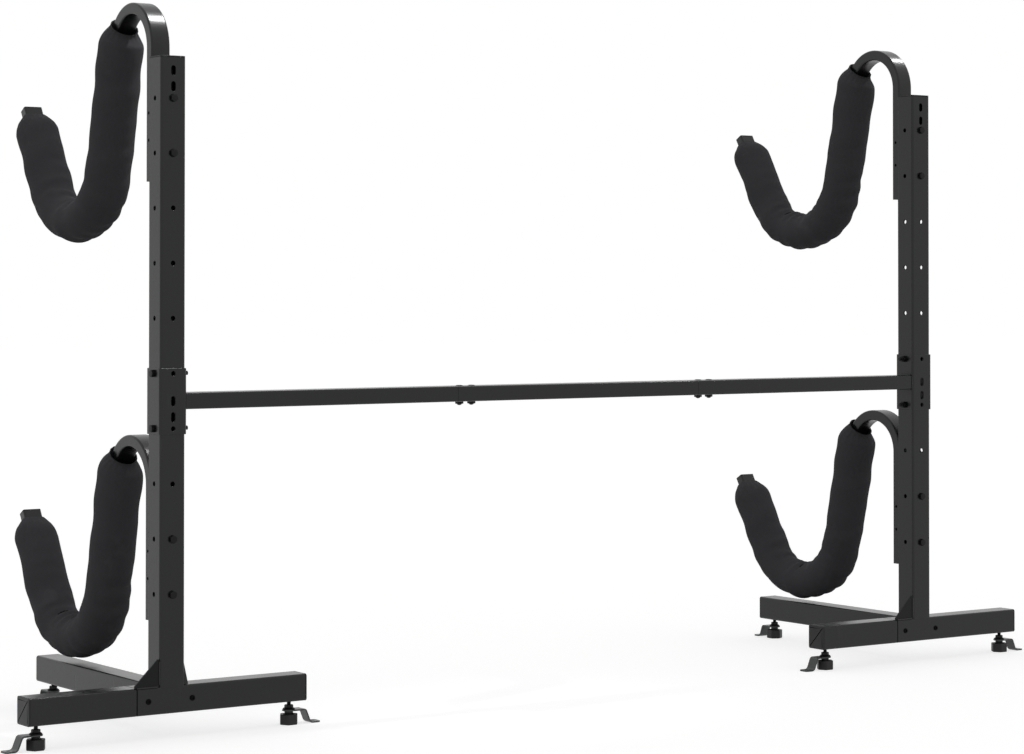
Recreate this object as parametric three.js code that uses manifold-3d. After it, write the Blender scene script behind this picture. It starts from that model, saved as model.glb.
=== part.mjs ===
// Freestanding kayak rack. Two square posts stand on three-legged bases and are joined by a
// bolted crossbar. Each post carries two J-shaped cradles of bent rectangular tube in padded
// sleeves. Millimetres, +Z up. The floor is z = 0, X runs along the crossbar, and the cradles
// reach out along +Y. The origin is the middle of the footprint.
import * as THREE from 'three';
import * as BufferGeometryUtils from 'three/addons/utils/BufferGeometryUtils.js';
import Module from 'manifold-3d';

const wasm = await Module();
wasm.setup();

// ---- Driving dimensions ----------------------------------------------------------------
const POST_SPACING = 1820;      // between the axes of the two posts
const FOOTPRINT_SHIFT = -286.6; // the post axes lie this far from the middle of the depth
const GAP = 0.3;                // play between pieces that touch
const THROUGH = 5;              // a cutter runs this far past what it cuts

const TUBE = 50;                // posts and legs: square tube
const WALL = 2;
const CORNER = 4;               // outer corner radius of the square tube
const LEG_CLEARANCE = 45;       // floor to the underside of the legs
const LOWER_POST_LENGTH = 542;
const UPPER_POST_LENGTH = 600;

const BOLT = 8;
const BOLT_ACROSS = 15;         // head and nut, over the corners
const HEAD_HEIGHT = 5.3;
const NUT_HEIGHT = 6.5;
const THREAD_PAST_NUT = 2.5;
const HOLE = 9;                 // clearance for a bolt
const HOLE_PITCH = 100;
const FIRST_HOLE = 77.5;        // from the top of each post length
const LOWER_HOLE_COUNT = 4;
const UPPER_HOLE_COUNT = 6;
const SLOT_WIDTH = 9;
const SLOT_LENGTH = 18;
const SLOT_DEPTHS = [27.5, 56.5]; // slot centres, from the top of each post length

const COUPLING_HEIGHT = 120;
const COUPLING_WALL = 2;
const COUPLING_DROP = 28;       // its centre lies this far below the joint of the post

const CROSSBAR_DEPTH = 50;
const CROSSBAR_HEIGHT = 30;
const CROSSBAR_CORNER = 3;
const SPLICE_LENGTH = 64;       // of the inner tube past the joint, and inside its own segment
const SPLICE_BOLTS = [18, 46];  // from each joint
const BAND_INSET = 5;           // a splice is welded to its own tube along a band, which
const BAND_MARGIN = 15;         // starts and ends this far from the splice's end and the joint
const BAND_BITE = 0.2;          // and reaches this far into the tube's wall

const LEG_REACH = 280;          // post axis to the ends of the straight base bar
const BACK_LEG_REACH = 505;
const BASE_JOINT = -69;         // where the front leg meets the base bar
const BASE_SPLICE = [-140, 62]; // inner tube of the front leg
const BASE_BOLTS = [-47.4, 40.7];
const FOOT_INSET = 25;          // from the end of each leg
const CAP_THICKNESS = 3;
const CAP_PLUG = 9;

const GUSSET_SIDE = 49;
const GUSSET_THICKNESS = 4;
const GUSSET_NOSE = 4;
const GUSSET_SETBACK = 1;       // from the front faces of post and bar

const ARM_WIDTH = 38;
const ARM_DEPTH = 22;
const ARM_CORNER = 3;
const SHANK_DROP = 228;         // end of the shank below the top of the post
const ARCH_RISE = 17;           // centre of the arch above the top of the post
const ARCH_RADIUS = 78;
const ARCH_TURN = 167.1;        // degrees
const REACH_LENGTH = 222;       // straight tube between arch and cup
const CUP_RADIUS = 140;
const CUP_TURN = 135.9;
const TIP_LENGTH = 180;
const ARCH_STEPS = 10;
const CUP_STEPS = 8;
const ARM_BOLTS = [77.5, 177.5];
const SHANK_SIDE_HOLES = [102.5, 152.5];
const SIDE_HOLE = 6;
const TIER_DROP = 800;          // lower cradle below the upper one

const PAD_RADIUS = 43.8;
const PAD_SIDES = 14;
const PAD_RINGS = 18;           // steps between the shoulder and the hem
const COLLAR_RADIUS = 27.5;     // gathered mouth at the arch
const COLLAR_LENGTH = 7;
const SHOULDER_LENGTH = 33;     // from the collar to the full pad
const HEM_RADIUS = 25;          // gathered mouth at the tip
const HEM_LENGTH = 42;
const CUP_SQUEEZE = 3.4;        // the pad is drawn thinner round the cup
const CUP_SAG = 2.5;            // and hangs this far to the outside of its bend
const PAD_ON_ARCH = 36;         // arc length of the arch that the pad covers
const PAD_END = 15;             // tube left bare at the tip

const STUD = 8;
const STUD_PLAY = 1;            // between the stud and the hole in the leg, on the diameter
const STUD_TOP = 75;
const WELD_NUT = { across: 18, height: 12, sunk: 0.5 };
const FOOT_HEIGHT = 19.5;
const FOOT_RADIUS = 17.5;
const NECK_RADIUS = 8;
const LOCK_NUT = { flange: 11.5, brim: 1.5, slope: 4, radius: 7, height: 8 };
const STRAP_THICKNESS = 3;
const STRAP_WIDTH = 25;
const STRAP_TOP = 28;
const STRAP_KNEE = 31;          // stud axis to the bends of the strap
const STRAP_HEEL = 41;
const STRAP_TOE = 65;
const STRAP_CORNER = 6;
const STRAP_SCREW = { hole: 7, inset: 11 };

const CIRCLE_SIDES = 8;

// ---- Derived places --------------------------------------------------------------------
const BAR_TOP = LEG_CLEARANCE + TUBE;
const LOWER_TOP = BAR_TOP + LOWER_POST_LENGTH;
const POST_TOP = LOWER_TOP + UPPER_POST_LENGTH;
const COUPLING_CENTRE = LOWER_TOP - COUPLING_DROP;
const SHANK_Y = TUBE / 2 + GAP + ARM_DEPTH / 2;
const COUPLING_OUTER = TUBE + 2 * (GAP + COUPLING_WALL);
const LINING = 2 * WALL + 2 * GAP; // a tube that slides inside another is smaller by this

// ---- Finishes --------------------------------------------------------------------------
const FINISHES = {
  steel: { color: 0x2c2c2e, roughness: 0.42, metalness: 0.3 },
  plastic: { color: 0x1d1d1e, roughness: 0.55, metalness: 0 },
  fabric: { color: 0x262628, roughness: 0.92, metalness: 0 },
  zinc: { color: 0x55585a, roughness: 0.38, metalness: 0.9 },
};

// ---- Geometry helpers ------------------------------------------------------------------
const radians = THREE.MathUtils.degToRad;

// Turns a closed geometry into a solid that can be joined and cut.
function solid(geometry) {
  const bare = geometry.clone();
  bare.deleteAttribute('normal');
  bare.deleteAttribute('uv');
  const merged = BufferGeometryUtils.mergeVertices(bare, 1e-4);
  return new wasm.Manifold(new wasm.Mesh({
    numProp: 3,
    vertProperties: Float32Array.from(merged.attributes.position.array),
    triVerts: Uint32Array.from(merged.index.array),
  }));
}

function join(parts) {
  return parts.reduce((body, part) => body.add(part));
}

function cut(body, cutters) {
  return cutters.reduce((rest, cutter) => rest.subtract(cutter), body);
}

function namedMesh(name, body, finish) {
  const result = body.getMesh();
  const geometry = new THREE.BufferGeometry();
  geometry.setAttribute('position', new THREE.Float32BufferAttribute(result.vertProperties, 3));
  geometry.setIndex(new THREE.Uint32BufferAttribute(result.triVerts, 1));
  geometry.computeVertexNormals();
  const mesh = new THREE.Mesh(geometry, new THREE.MeshStandardMaterial(FINISHES[finish]));
  mesh.name = name;
  return mesh;
}

// Right-handed frames that lay an extrusion or a turned shape along a row axis. The two
// directions of the flat shape become the next two axes in the order X, Y, Z.
const ALONG = {
  x: new THREE.Matrix4().makeBasis(
    new THREE.Vector3(0, 1, 0), new THREE.Vector3(0, 0, 1), new THREE.Vector3(1, 0, 0)),
  y: new THREE.Matrix4().makeBasis(
    new THREE.Vector3(0, 0, 1), new THREE.Vector3(1, 0, 0), new THREE.Vector3(0, 1, 0)),
  z: new THREE.Matrix4(),
};

function roundedRectangle(width, height, radius) {
  const x = width / 2 - radius;
  const y = height / 2 - radius;
  const shape = new THREE.Shape();
  shape.absarc(x, y, radius, 0, Math.PI / 2);
  shape.absarc(-x, y, radius, Math.PI / 2, Math.PI);
  shape.absarc(-x, -y, radius, Math.PI, 1.5 * Math.PI);
  shape.absarc(x, -y, radius, 1.5 * Math.PI, 2 * Math.PI);
  shape.closePath();
  return shape;
}

// Extrudes a flat shape along an axis, from one coordinate on it to another.
function extrusion(shape, axis, from, to, curveSegments = 1) {
  const geometry = new THREE.ExtrudeGeometry(shape, {
    depth: to - from, bevelEnabled: false, curveSegments, steps: 1,
  });
  geometry.translate(0, 0, from);
  geometry.applyMatrix4(ALONG[axis]);
  return solid(geometry);
}

function rectangle(width, height) {
  const shape = new THREE.Shape();
  shape.moveTo(-width / 2, -height / 2);
  shape.lineTo(width / 2, -height / 2);
  shape.lineTo(width / 2, height / 2);
  shape.lineTo(-width / 2, height / 2);
  shape.closePath();
  return shape;
}

// A tube with round outer corners and a plain bore.
function tube(axis, width, height, corner, wall, from, to) {
  const outer = corner > 0 ? roundedRectangle : rectangle;
  const shape = outer(width, height, corner);
  shape.holes.push(rectangle(width - 2 * wall, height - 2 * wall));
  return extrusion(shape, axis, from, to);
}

// A round or many-sided rod along an axis through a point.
function rod(axis, diameter, from, to, centre, sides = CIRCLE_SIDES) {
  const geometry = new THREE.CylinderGeometry(diameter / 2, diameter / 2, to - from, sides);
  geometry.rotateX(Math.PI / 2);
  geometry.translate(0, 0, (from + to) / 2);
  geometry.applyMatrix4(ALONG[axis]);
  geometry.translate(centre.x, centre.y, centre.z);
  return solid(geometry);
}

function at(x, y, z) {
  return new THREE.Vector3(x, y, z);
}

// A turned solid on the vertical axis. The profile is a list of [radius, height].
function turned(profile, sides, phase = 0) {
  const points = profile.map(([radius, height]) => new THREE.Vector2(radius, height));
  const geometry = new THREE.LatheGeometry(points, sides, phase);
  geometry.rotateX(Math.PI / 2);
  return solid(geometry);
}

// A closed skin over rings of equal point counts, with a flat fan over each end.
function loft(rings) {
  const count = rings[0].length;
  const positions = rings.flat().flatMap((point) => [point.x, point.y, point.z]);
  const indices = [];
  for (let ring = 0; ring + 1 < rings.length; ring += 1) {
    for (let side = 0; side < count; side += 1) {
      const a = ring * count + side;
      const b = ring * count + ((side + 1) % count);
      indices.push(a, b, b + count);
      indices.push(a, b + count, a + count);
    }
  }
  const last = (rings.length - 1) * count;
  for (let side = 1; side + 1 < count; side += 1) {
    indices.push(0, side + 1, side);
    indices.push(last, last + side, last + side + 1);
  }
  const geometry = new THREE.BufferGeometry();
  geometry.setAttribute('position', new THREE.Float32BufferAttribute(positions, 3));
  geometry.setIndex(indices);
  return solid(geometry);
}

// ---- Path of a bent tube ---------------------------------------------------------------
// A flat path of straight runs and arcs in the YZ plane, walked by arc length.
class BentPath {
  constructor(y, z, headingDegrees) {
    this.runs = [];
    this.end = { y, z, heading: radians(headingDegrees) };
    this.length = 0;
  }

  straight(length) {
    return this.add(length, 0, 1);
  }

  // Positive degrees turn to the left of the way the path goes.
  bend(degrees, radius, steps) {
    const turn = radians(degrees);
    return this.add(Math.abs(turn) * radius, turn, steps);
  }

  add(length, turn, steps) {
    const run = { start: this.end, from: this.length, length, turn, steps };
    this.runs.push(run);
    this.length += length;
    this.end = BentPath.along(run, length);
    return this;
  }

  static along(run, distance) {
    const { start, length, turn } = run;
    const heading = start.heading + (turn * distance) / length;
    if (turn === 0) {
      return {
        y: start.y + distance * Math.cos(heading),
        z: start.z + distance * Math.sin(heading),
        heading,
      };
    }
    const radius = length / turn;
    return {
      y: start.y + radius * (Math.sin(heading) - Math.sin(start.heading)),
      z: start.z - radius * (Math.cos(heading) - Math.cos(start.heading)),
      heading,
    };
  }

  point(distance) {
    const run = this.runs.find((one) => distance <= one.from + one.length) ?? this.runs.at(-1);
    return BentPath.along(run, distance - run.from);
  }

  // Stations at the ends of the straight runs and at equal steps of the bends.
  stations() {
    const marks = [this.point(0)];
    this.runs.forEach((run) => {
      for (let step = 1; step <= run.steps; step += 1) {
        marks.push(BentPath.along(run, (run.length * step) / run.steps));
      }
    });
    return marks;
  }
}

// A ring square to the path. The outline's x lies along X, and its y across the path.
function ringAt(station, outline) {
  const { y, z, heading } = station;
  return outline.map((point) => at(
    point.x, y - point.y * Math.sin(heading), z + point.y * Math.cos(heading)));
}

function outlineOf(shape) {
  return shape.extractPoints(1).shape;
}

// Sweeps a flat outline along the stations of a path. The path runs to the outline's left
// hand, so the outline is turned over to keep the skin facing out.
function sweep(stations, outline) {
  const facing = [...outline].reverse();
  return loft(stations.map((station) => ringAt(station, facing)));
}

// ---- Square tube with its holes --------------------------------------------------------
function crossHoles(z, reach) {
  return [
    rod('x', HOLE, -reach, reach, at(0, 0, z)),
    rod('y', HOLE, -reach, reach, at(0, 0, z)),
  ];
}

function slot(z, reach) {
  const half = (SLOT_LENGTH - SLOT_WIDTH) / 2;
  const shape = new THREE.Shape();
  shape.absarc(half, 0, SLOT_WIDTH / 2, -Math.PI / 2, Math.PI / 2);
  shape.absarc(-half, 0, SLOT_WIDTH / 2, Math.PI / 2, 1.5 * Math.PI);
  shape.closePath();
  return extrusion(shape, 'y', -reach, reach, 2).translate([0, 0, z]);
}

// A length of post: two slots near its top, then a row of holes through all four walls.
function postLength(bottom, top, tubeTop, holeCount) {
  const cutters = SLOT_DEPTHS.map((depth) => slot(top - depth, TUBE));
  for (let index = 0; index < holeCount; index += 1) {
    cutters.push(...crossHoles(top - FIRST_HOLE - index * HOLE_PITCH, TUBE));
  }
  return cut(tube('z', TUBE, TUBE, CORNER, WALL, bottom, tubeTop), cutters);
}

function couplingSleeve() {
  const half = COUPLING_HEIGHT / 2;
  const outer = COUPLING_OUTER;
  const sleeve = tube(
    'z', outer, outer, CORNER + GAP, COUPLING_WALL,
    COUPLING_CENTRE - half, COUPLING_CENTRE + half);
  const lowerHole = LOWER_TOP - FIRST_HOLE;
  const cutters = [lowerHole, lowerHole + HOLE_PITCH].flatMap((z) => crossHoles(z, outer));
  SLOT_DEPTHS.forEach((depth) => cutters.push(slot(LOWER_TOP - depth, outer)));
  return cut(sleeve, cutters);
}

// A plastic plug: a flange over the end of a tube and a shallow block inside it. It is made
// on +Z at the origin, the flange's outer face at the thickness of the flange.
function endPlug(width, height, corner) {
  const chamfer = 1;
  const rim = (inset) => outlineOf(
    roundedRectangle(width - 2 * inset, height - 2 * inset, corner - inset / 2));
  const levels = [[GAP, 0], [CAP_THICKNESS - chamfer, 0], [CAP_THICKNESS, chamfer]];
  const flange = loft(levels.map(
    ([level, inset]) => rim(inset).map((point) => at(point.x, point.y, level))));
  const block = rectangle(width - LINING, height - LINING);
  const plug = extrusion(block, 'z', -CAP_PLUG, 2 * GAP);
  return join([flange, plug]);
}

// ---- Base ------------------------------------------------------------------------------
const LEG_MIDDLE = LEG_CLEARANCE + TUBE / 2;

// The threaded bush welded inside the lower wall of a leg, and the hole through both.
function weldNut(x, y) {
  const bottom = LEG_CLEARANCE + WALL - WELD_NUT.sunk;
  return rod('z', WELD_NUT.across, bottom, bottom + WELD_NUT.height, at(x, y, 0), 6);
}

function studHole(x, y) {
  return rod('z', STUD + STUD_PLAY, 0, LEG_MIDDLE, at(x, y, 0));
}

function legTube(axis, from, to) {
  return tube(axis, TUBE, TUBE, CORNER, WALL, from, to).translate([0, 0, LEG_MIDDLE]);
}

function baseBolts() {
  return BASE_BOLTS.map((x) => rod('y', HOLE, -TUBE, TUBE, at(x, 0, LEG_MIDDLE)));
}

function baseBar() {
  const bar = legTube('x', BASE_JOINT, LEG_REACH - CAP_THICKNESS);
  const footX = LEG_REACH - FOOT_INSET;
  return cut(join([bar, weldNut(footX, 0)]), [studHole(footX, 0), ...baseBolts()]);
}

// The shorter front leg carries the inner tube that slides into the base bar.
function frontLeg() {
  const [from, to] = BASE_SPLICE;
  const lining = TUBE - LINING;
  const band = TUBE - 2 * WALL + 2 * BAND_BITE;
  const inner = join([
    tube('x', lining, lining, 0, WALL, from, to),
    tube('x', band, band, 0, WALL, from + BAND_INSET, BASE_JOINT - BAND_MARGIN),
  ]).translate([0, 0, LEG_MIDDLE]);
  const leg = legTube('x', CAP_THICKNESS - LEG_REACH, BASE_JOINT - GAP);
  const footX = FOOT_INSET - LEG_REACH;
  return cut(join([leg, inner, weldNut(footX, 0)]), [studHole(footX, 0), ...baseBolts()]);
}

function backLeg() {
  const leg = legTube('y', TUBE / 2 + GAP, BACK_LEG_REACH - CAP_THICKNESS);
  const footY = BACK_LEG_REACH - FOOT_INSET;
  return cut(join([leg, weldNut(0, footY)]), [studHole(0, footY)]);
}

// A triangular plate between post and base bar, flush with their front faces.
function gusset() {
  const inner = -TUBE / 2 - GAP;
  const foot = BAR_TOP + GAP;
  const shape = new THREE.Shape();
  shape.moveTo(foot, inner);
  shape.lineTo(foot, inner - GUSSET_SIDE);
  shape.lineTo(foot + GUSSET_NOSE, inner - GUSSET_SIDE);
  shape.lineTo(foot + GUSSET_SIDE, inner - GUSSET_NOSE);
  shape.lineTo(foot + GUSSET_SIDE, inner);
  shape.closePath();
  const front = -TUBE / 2 + GUSSET_SETBACK;
  return extrusion(shape, 'y', front, front + GUSSET_THICKNESS);
}

// ---- Levelling feet --------------------------------------------------------------------
// Six-sided foot, neck, stud and flanged lock nut, on the vertical axis.
function levellingFoot() {
  const neckBottom = FOOT_HEIGHT - 5;
  const neckTop = STRAP_TOP - STRAP_THICKNESS - GAP;
  const flangeBottom = STRAP_TOP + GAP;
  const { flange, brim, slope, radius, height } = LOCK_NUT;
  const block = turned([
    [0, 0], [FOOT_RADIUS - 3, 0], [FOOT_RADIUS, 2.5], [FOOT_RADIUS, FOOT_HEIGHT - 1.5],
    [FOOT_RADIUS - 1.5, FOOT_HEIGHT], [0, FOOT_HEIGHT],
  ], 6, Math.PI / 6);
  const stem = turned([
    [0, neckBottom], [NECK_RADIUS, neckBottom], [NECK_RADIUS, neckTop], [STUD / 2, neckTop],
    [STUD / 2, flangeBottom], [flange, flangeBottom], [flange, flangeBottom + brim],
    [STUD / 2, flangeBottom + slope], [STUD / 2, STUD_TOP], [0, STUD_TOP],
  ], CIRCLE_SIDES);
  const nut = rod(
    'z', 2 * radius, flangeBottom + brim / 2, flangeBottom + height, at(0, 0, 0), 6);
  return join([block, stem, nut]);
}

// Z-bent hold-down strap, pointing along +X. Its eye lies round the stud and its toe lies on
// the floor, with a hole for a screw.
function holdDownStrap() {
  const t = STRAP_THICKNESS;
  const half = STRAP_WIDTH / 2;
  const side = new THREE.Shape();
  side.moveTo(-half, STRAP_TOP - t);
  side.lineTo(STRAP_KNEE - t, STRAP_TOP - t);
  side.lineTo(STRAP_HEEL - t, 0);
  side.lineTo(STRAP_TOE, 0);
  side.lineTo(STRAP_TOE, t);
  side.lineTo(STRAP_HEEL, t);
  side.lineTo(STRAP_KNEE, STRAP_TOP);
  side.lineTo(-half, STRAP_TOP);
  side.closePath();
  const profile = new THREE.ExtrudeGeometry(side, {
    depth: STRAP_WIDTH, bevelEnabled: false, steps: 1,
  });
  profile.translate(0, 0, -half);
  profile.rotateX(Math.PI / 2);
  const corner = STRAP_CORNER;
  const plan = new THREE.Shape();
  plan.absarc(0, 0, half, Math.PI / 2, 1.5 * Math.PI);
  plan.absarc(STRAP_TOE - corner, corner - half, corner, 1.5 * Math.PI, 2 * Math.PI);
  plan.absarc(STRAP_TOE - corner, half - corner, corner, 0, Math.PI / 2);
  plan.closePath();
  const top = STRAP_TOP + THROUGH;
  const outline = extrusion(plan, 'z', -THROUGH, top, 2);
  const eye = rod('z', STUD + STUD_PLAY, 0, top, at(0, 0, 0));
  const screwX = STRAP_TOE - STRAP_SCREW.inset;
  const screwHole = rod('z', STRAP_SCREW.hole, -THROUGH, top, at(screwX, 0, 0));
  return cut(solid(profile).intersect(outline), [eye, screwHole]);
}

// ---- Crossbar --------------------------------------------------------------------------
function barTube(from, to, inset, wall) {
  const width = CROSSBAR_DEPTH - 2 * inset;
  const height = CROSSBAR_HEIGHT - 2 * inset;
  const corner = inset > 0 ? 0 : CROSSBAR_CORNER;
  return tube('x', width, height, corner, wall, from, to).translate([0, 0, COUPLING_CENTRE]);
}

const CROSSBAR_HALF = POST_SPACING / 2 - COUPLING_OUTER / 2 - GAP;
const SEGMENT_LENGTH = (2 * CROSSBAR_HALF) / 3;

// One of three equal segments. The first two carry the inner tube of the joint to their right.
function crossbarSegment(index) {
  const from = -CROSSBAR_HALF + index * SEGMENT_LENGTH;
  const to = from + SEGMENT_LENGTH - (index < 2 ? GAP : 0);
  const ends = [from, from + SEGMENT_LENGTH];
  const joints = ends.filter((x) => Math.abs(x) < CROSSBAR_HALF - SPLICE_LENGTH);
  const bolts = joints.flatMap((x) => SPLICE_BOLTS.map((offset) => rod(
    'z', HOLE, COUPLING_CENTRE - CROSSBAR_HEIGHT, COUPLING_CENTRE + CROSSBAR_HEIGHT,
    at(x + offset, 0, 0))));
  const segment = barTube(from, to, 0, WALL);
  if (index === 2) {
    return cut(segment, bolts);
  }
  const inner = barTube(to - SPLICE_LENGTH, to + SPLICE_LENGTH, WALL + GAP, WALL);
  const weldBand = barTube(
    to - SPLICE_LENGTH + BAND_INSET, to - BAND_MARGIN, WALL - BAND_BITE, WALL);
  return cut(join([segment, weldBand, inner]), bolts);
}

// ---- Cradle ----------------------------------------------------------------------------
// The bent tube of a cradle, at the height of the upper tier: up along the back of the post,
// over the arch, down and out, round the cup and up to the tip.
function cradlePath() {
  return new BentPath(SHANK_Y, POST_TOP - SHANK_DROP, 90)
    .straight(SHANK_DROP + ARCH_RISE)
    .bend(-ARCH_TURN, ARCH_RADIUS, ARCH_STEPS)
    .straight(REACH_LENGTH)
    .bend(CUP_TURN, CUP_RADIUS, CUP_STEPS)
    .straight(TIP_LENGTH);
}

function squareSection(grow) {
  return outlineOf(rectangle(ARM_WIDTH + 2 * grow, ARM_DEPTH + 2 * grow));
}

// The same path with both ends run on by a little, for cutting right through.
function overrun(stations) {
  const first = stations[0];
  const last = stations.at(-1);
  const shift = (station, distance) => ({
    y: station.y + distance * Math.cos(station.heading),
    z: station.z + distance * Math.sin(station.heading),
    heading: station.heading,
  });
  return [shift(first, -THROUGH), ...stations.slice(1, -1), shift(last, THROUGH)];
}

function cradleArm() {
  const stations = cradlePath().stations();
  const section = outlineOf(roundedRectangle(ARM_WIDTH, ARM_DEPTH, ARM_CORNER));
  const body = sweep(stations, section);
  const bore = sweep(overrun(stations), squareSection(-WALL));
  const bolts = ARM_BOLTS.map((depth) => rod(
    'y', HOLE, 0, SHANK_Y + ARM_DEPTH, at(0, 0, POST_TOP - depth)));
  const sideHoles = SHANK_SIDE_HOLES.map((depth) => rod(
    'x', SIDE_HOLE, -ARM_WIDTH, 0, at(0, SHANK_Y, POST_TOP - depth)));
  return cut(body, [bore, ...bolts, ...sideHoles]);
}

// How much of the cup's form the sleeve has, from 0 at its ends to 1 near its middle.
function cupShare(distance, length) {
  return Math.sin((Math.PI * distance) / length) ** 4;
}

// Radius of the padded sleeve along its length: a gathered collar, a round shoulder, the
// full pad, drawn thinner round the cup, and a long fall to the gathered hem at the tip.
function padRadius(distance, length) {
  const quarter = Math.PI / 2;
  if (distance < COLLAR_LENGTH) {
    return COLLAR_RADIUS;
  }
  const full = PAD_RADIUS - CUP_SQUEEZE * cupShare(distance, length);
  const risen = (distance - COLLAR_LENGTH) / SHOULDER_LENGTH;
  if (risen < 1) {
    return COLLAR_RADIUS + (full - COLLAR_RADIUS) * Math.sin(quarter * risen);
  }
  const left = (length - distance) / HEM_LENGTH;
  if (left < 1) {
    return HEM_RADIUS + (full - HEM_RADIUS) * Math.sin(quarter * left);
  }
  return full;
}

// Distances of the sleeve's rings from its mouth at the arch: close together over the
// shoulder and the hem, and at equal steps between them.
function padMarks(length) {
  const shoulder = [0, 0.25, 0.5, 0.75, 1].map((part) => COLLAR_LENGTH + part * SHOULDER_LENGTH);
  const hem = [1, 0.7, 0.4, 0.18, 0].map((part) => length - part * HEM_LENGTH);
  const from = shoulder.at(-1);
  const step = (hem[0] - from) / PAD_RINGS;
  const between = Array.from({ length: PAD_RINGS - 1 }, (_, index) => from + (index + 1) * step);
  return [0, ...shoulder, ...between, ...hem];
}

function padSleeve() {
  const path = cradlePath();
  const reach = path.runs[2];
  const start = reach.from - PAD_ON_ARCH;
  const length = path.length - PAD_END - start;
  const rings = padMarks(length).map((mark) => {
    const radius = padRadius(mark, length);
    const sag = CUP_SAG * cupShare(mark, length);
    const outline = Array.from({ length: PAD_SIDES }, (_, side) => {
      const angle = (2 * Math.PI * (side + 0.5)) / PAD_SIDES;
      return new THREE.Vector2(radius * Math.cos(angle), radius * Math.sin(angle) - sag);
    });
    return ringAt(path.point(start + mark), outline.reverse());
  });
  const bore = sweep(overrun(path.stations()), squareSection(GAP));
  return loft(rings).subtract(bore);
}

// Hex-headed bolt from the front of the post through the shank, with its nut at the back.
function armBolt() {
  const front = -TUBE / 2 - GAP;
  const back = SHANK_Y + ARM_DEPTH / 2 + GAP;
  const end = back + NUT_HEIGHT + THREAD_PAST_NUT;
  const hexagon = (diameter, from, to) => rod('y', diameter, from, to, at(0, 0, 0), 6);
  return join([
    hexagon(BOLT_ACROSS, front - HEAD_HEIGHT, front),
    hexagon(BOLT, front - HEAD_HEIGHT / 2, end),
    hexagon(BOLT_ACROSS, back, back + NUT_HEIGHT),
  ]);
}

// ---- Assembly --------------------------------------------------------------------------
function placed(mesh, x, y, z, turn = 0) {
  mesh.position.set(x, y, z);
  mesh.rotation.z = turn;
  return mesh;
}

function buildLeg(prefix, leg, footX, footY, turn) {
  const group = new THREE.Group();
  const name = `${prefix}_${leg}`;
  const cap = namedMesh(`${name}_end_plug`, endPlug(TUBE, TUBE, CORNER), 'plastic');
  const outward = new THREE.Vector3(Math.cos(turn), Math.sin(turn), 0);
  const end = FOOT_INSET - CAP_THICKNESS;
  cap.quaternion.setFromUnitVectors(at(0, 0, 1), outward);
  cap.position.set(footX + outward.x * end, footY + outward.y * end, LEG_MIDDLE);
  group.add(cap);
  const foot = namedMesh(`${name}_levelling_foot`, levellingFoot(), 'plastic');
  group.add(placed(foot, footX, footY, 0));
  const strap = namedMesh(`${name}_hold_down_strap`, holdDownStrap(), 'zinc');
  group.add(placed(strap, footX, footY, 0, turn));
  return group;
}

function buildCradle(prefix, tier, drop) {
  const group = new THREE.Group();
  const name = `${prefix}_${tier}`;
  group.add(namedMesh(`${name}_cradle_arm`, cradleArm(), 'steel'));
  group.add(namedMesh(`${name}_pad_sleeve`, padSleeve(), 'fabric'));
  const end = cradlePath().end;
  const plug = namedMesh(
    `${name}_tip_plug`, endPlug(ARM_WIDTH, ARM_DEPTH, ARM_CORNER), 'plastic');
  const across = at(0, -Math.sin(end.heading), Math.cos(end.heading));
  const outward = at(0, Math.cos(end.heading), Math.sin(end.heading));
  const side = new THREE.Vector3().crossVectors(across, outward);
  plug.quaternion.setFromRotationMatrix(new THREE.Matrix4().makeBasis(side, across, outward));
  plug.position.set(0, end.y, end.z);
  group.add(plug);
  ARM_BOLTS.forEach((depth, index) => {
    const bolt = namedMesh(`${name}_arm_bolt_${index + 1}`, armBolt(), 'zinc');
    group.add(placed(bolt, 0, 0, POST_TOP - depth));
  });
  group.position.z = -drop;
  return group;
}

function buildEnd(prefix, x) {
  const group = new THREE.Group();
  const steel = (name, body) => group.add(namedMesh(`${prefix}_${name}`, body, 'steel'));
  steel('lower_post', postLength(BAR_TOP + GAP, LOWER_TOP, LOWER_TOP, LOWER_HOLE_COUNT));
  steel('upper_post', postLength(
    LOWER_TOP + GAP, POST_TOP, POST_TOP - CAP_THICKNESS, UPPER_HOLE_COUNT));
  steel('coupling_sleeve', couplingSleeve());
  steel('base_bar', baseBar());
  steel('front_leg', frontLeg());
  steel('back_leg', backLeg());
  steel('gusset', gusset());
  const cap = namedMesh(`${prefix}_post_plug`, endPlug(TUBE, TUBE, CORNER), 'plastic');
  group.add(placed(cap, 0, 0, POST_TOP - CAP_THICKNESS));
  const footX = LEG_REACH - FOOT_INSET;
  group.add(buildLeg(prefix, 'front_leg', -footX, 0, Math.PI));
  group.add(buildLeg(prefix, 'base_bar', footX, 0, 0));
  group.add(buildLeg(prefix, 'back_leg', 0, BACK_LEG_REACH - FOOT_INSET, Math.PI / 2));
  group.add(buildCradle(prefix, 'upper', 0));
  group.add(buildCradle(prefix, 'lower', TIER_DROP));
  group.position.x = x;
  return group;
}

function buildRack() {
  const rack = new THREE.Group();
  rack.add(buildEnd('left', -POST_SPACING / 2));
  rack.add(buildEnd('right', POST_SPACING / 2));
  ['left', 'middle', 'right'].forEach((place, index) => {
    rack.add(namedMesh(`crossbar_${place}`, crossbarSegment(index), 'steel'));
  });
  rack.position.y = FOOTPRINT_SHIFT;
  return rack;
}

export default buildRack();
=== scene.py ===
"""Freestanding kayak rack: the finished look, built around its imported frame.

Two square posts on three-legged bases, a bolted crossbar, and four padded J-shaped cradles.
Every length is in metres, in the row frame: the floor is z = 0, +X runs along the crossbar and
+Y is the way that the cradles reach. Places come from the frame's own nodes, and each class
below holds the few sizes of one sub-assembly that the frame doesn't give.
"""
import logging
import math
from dataclasses import dataclass, field
from enum import Enum
from typing import Any, Callable, Sequence

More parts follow.
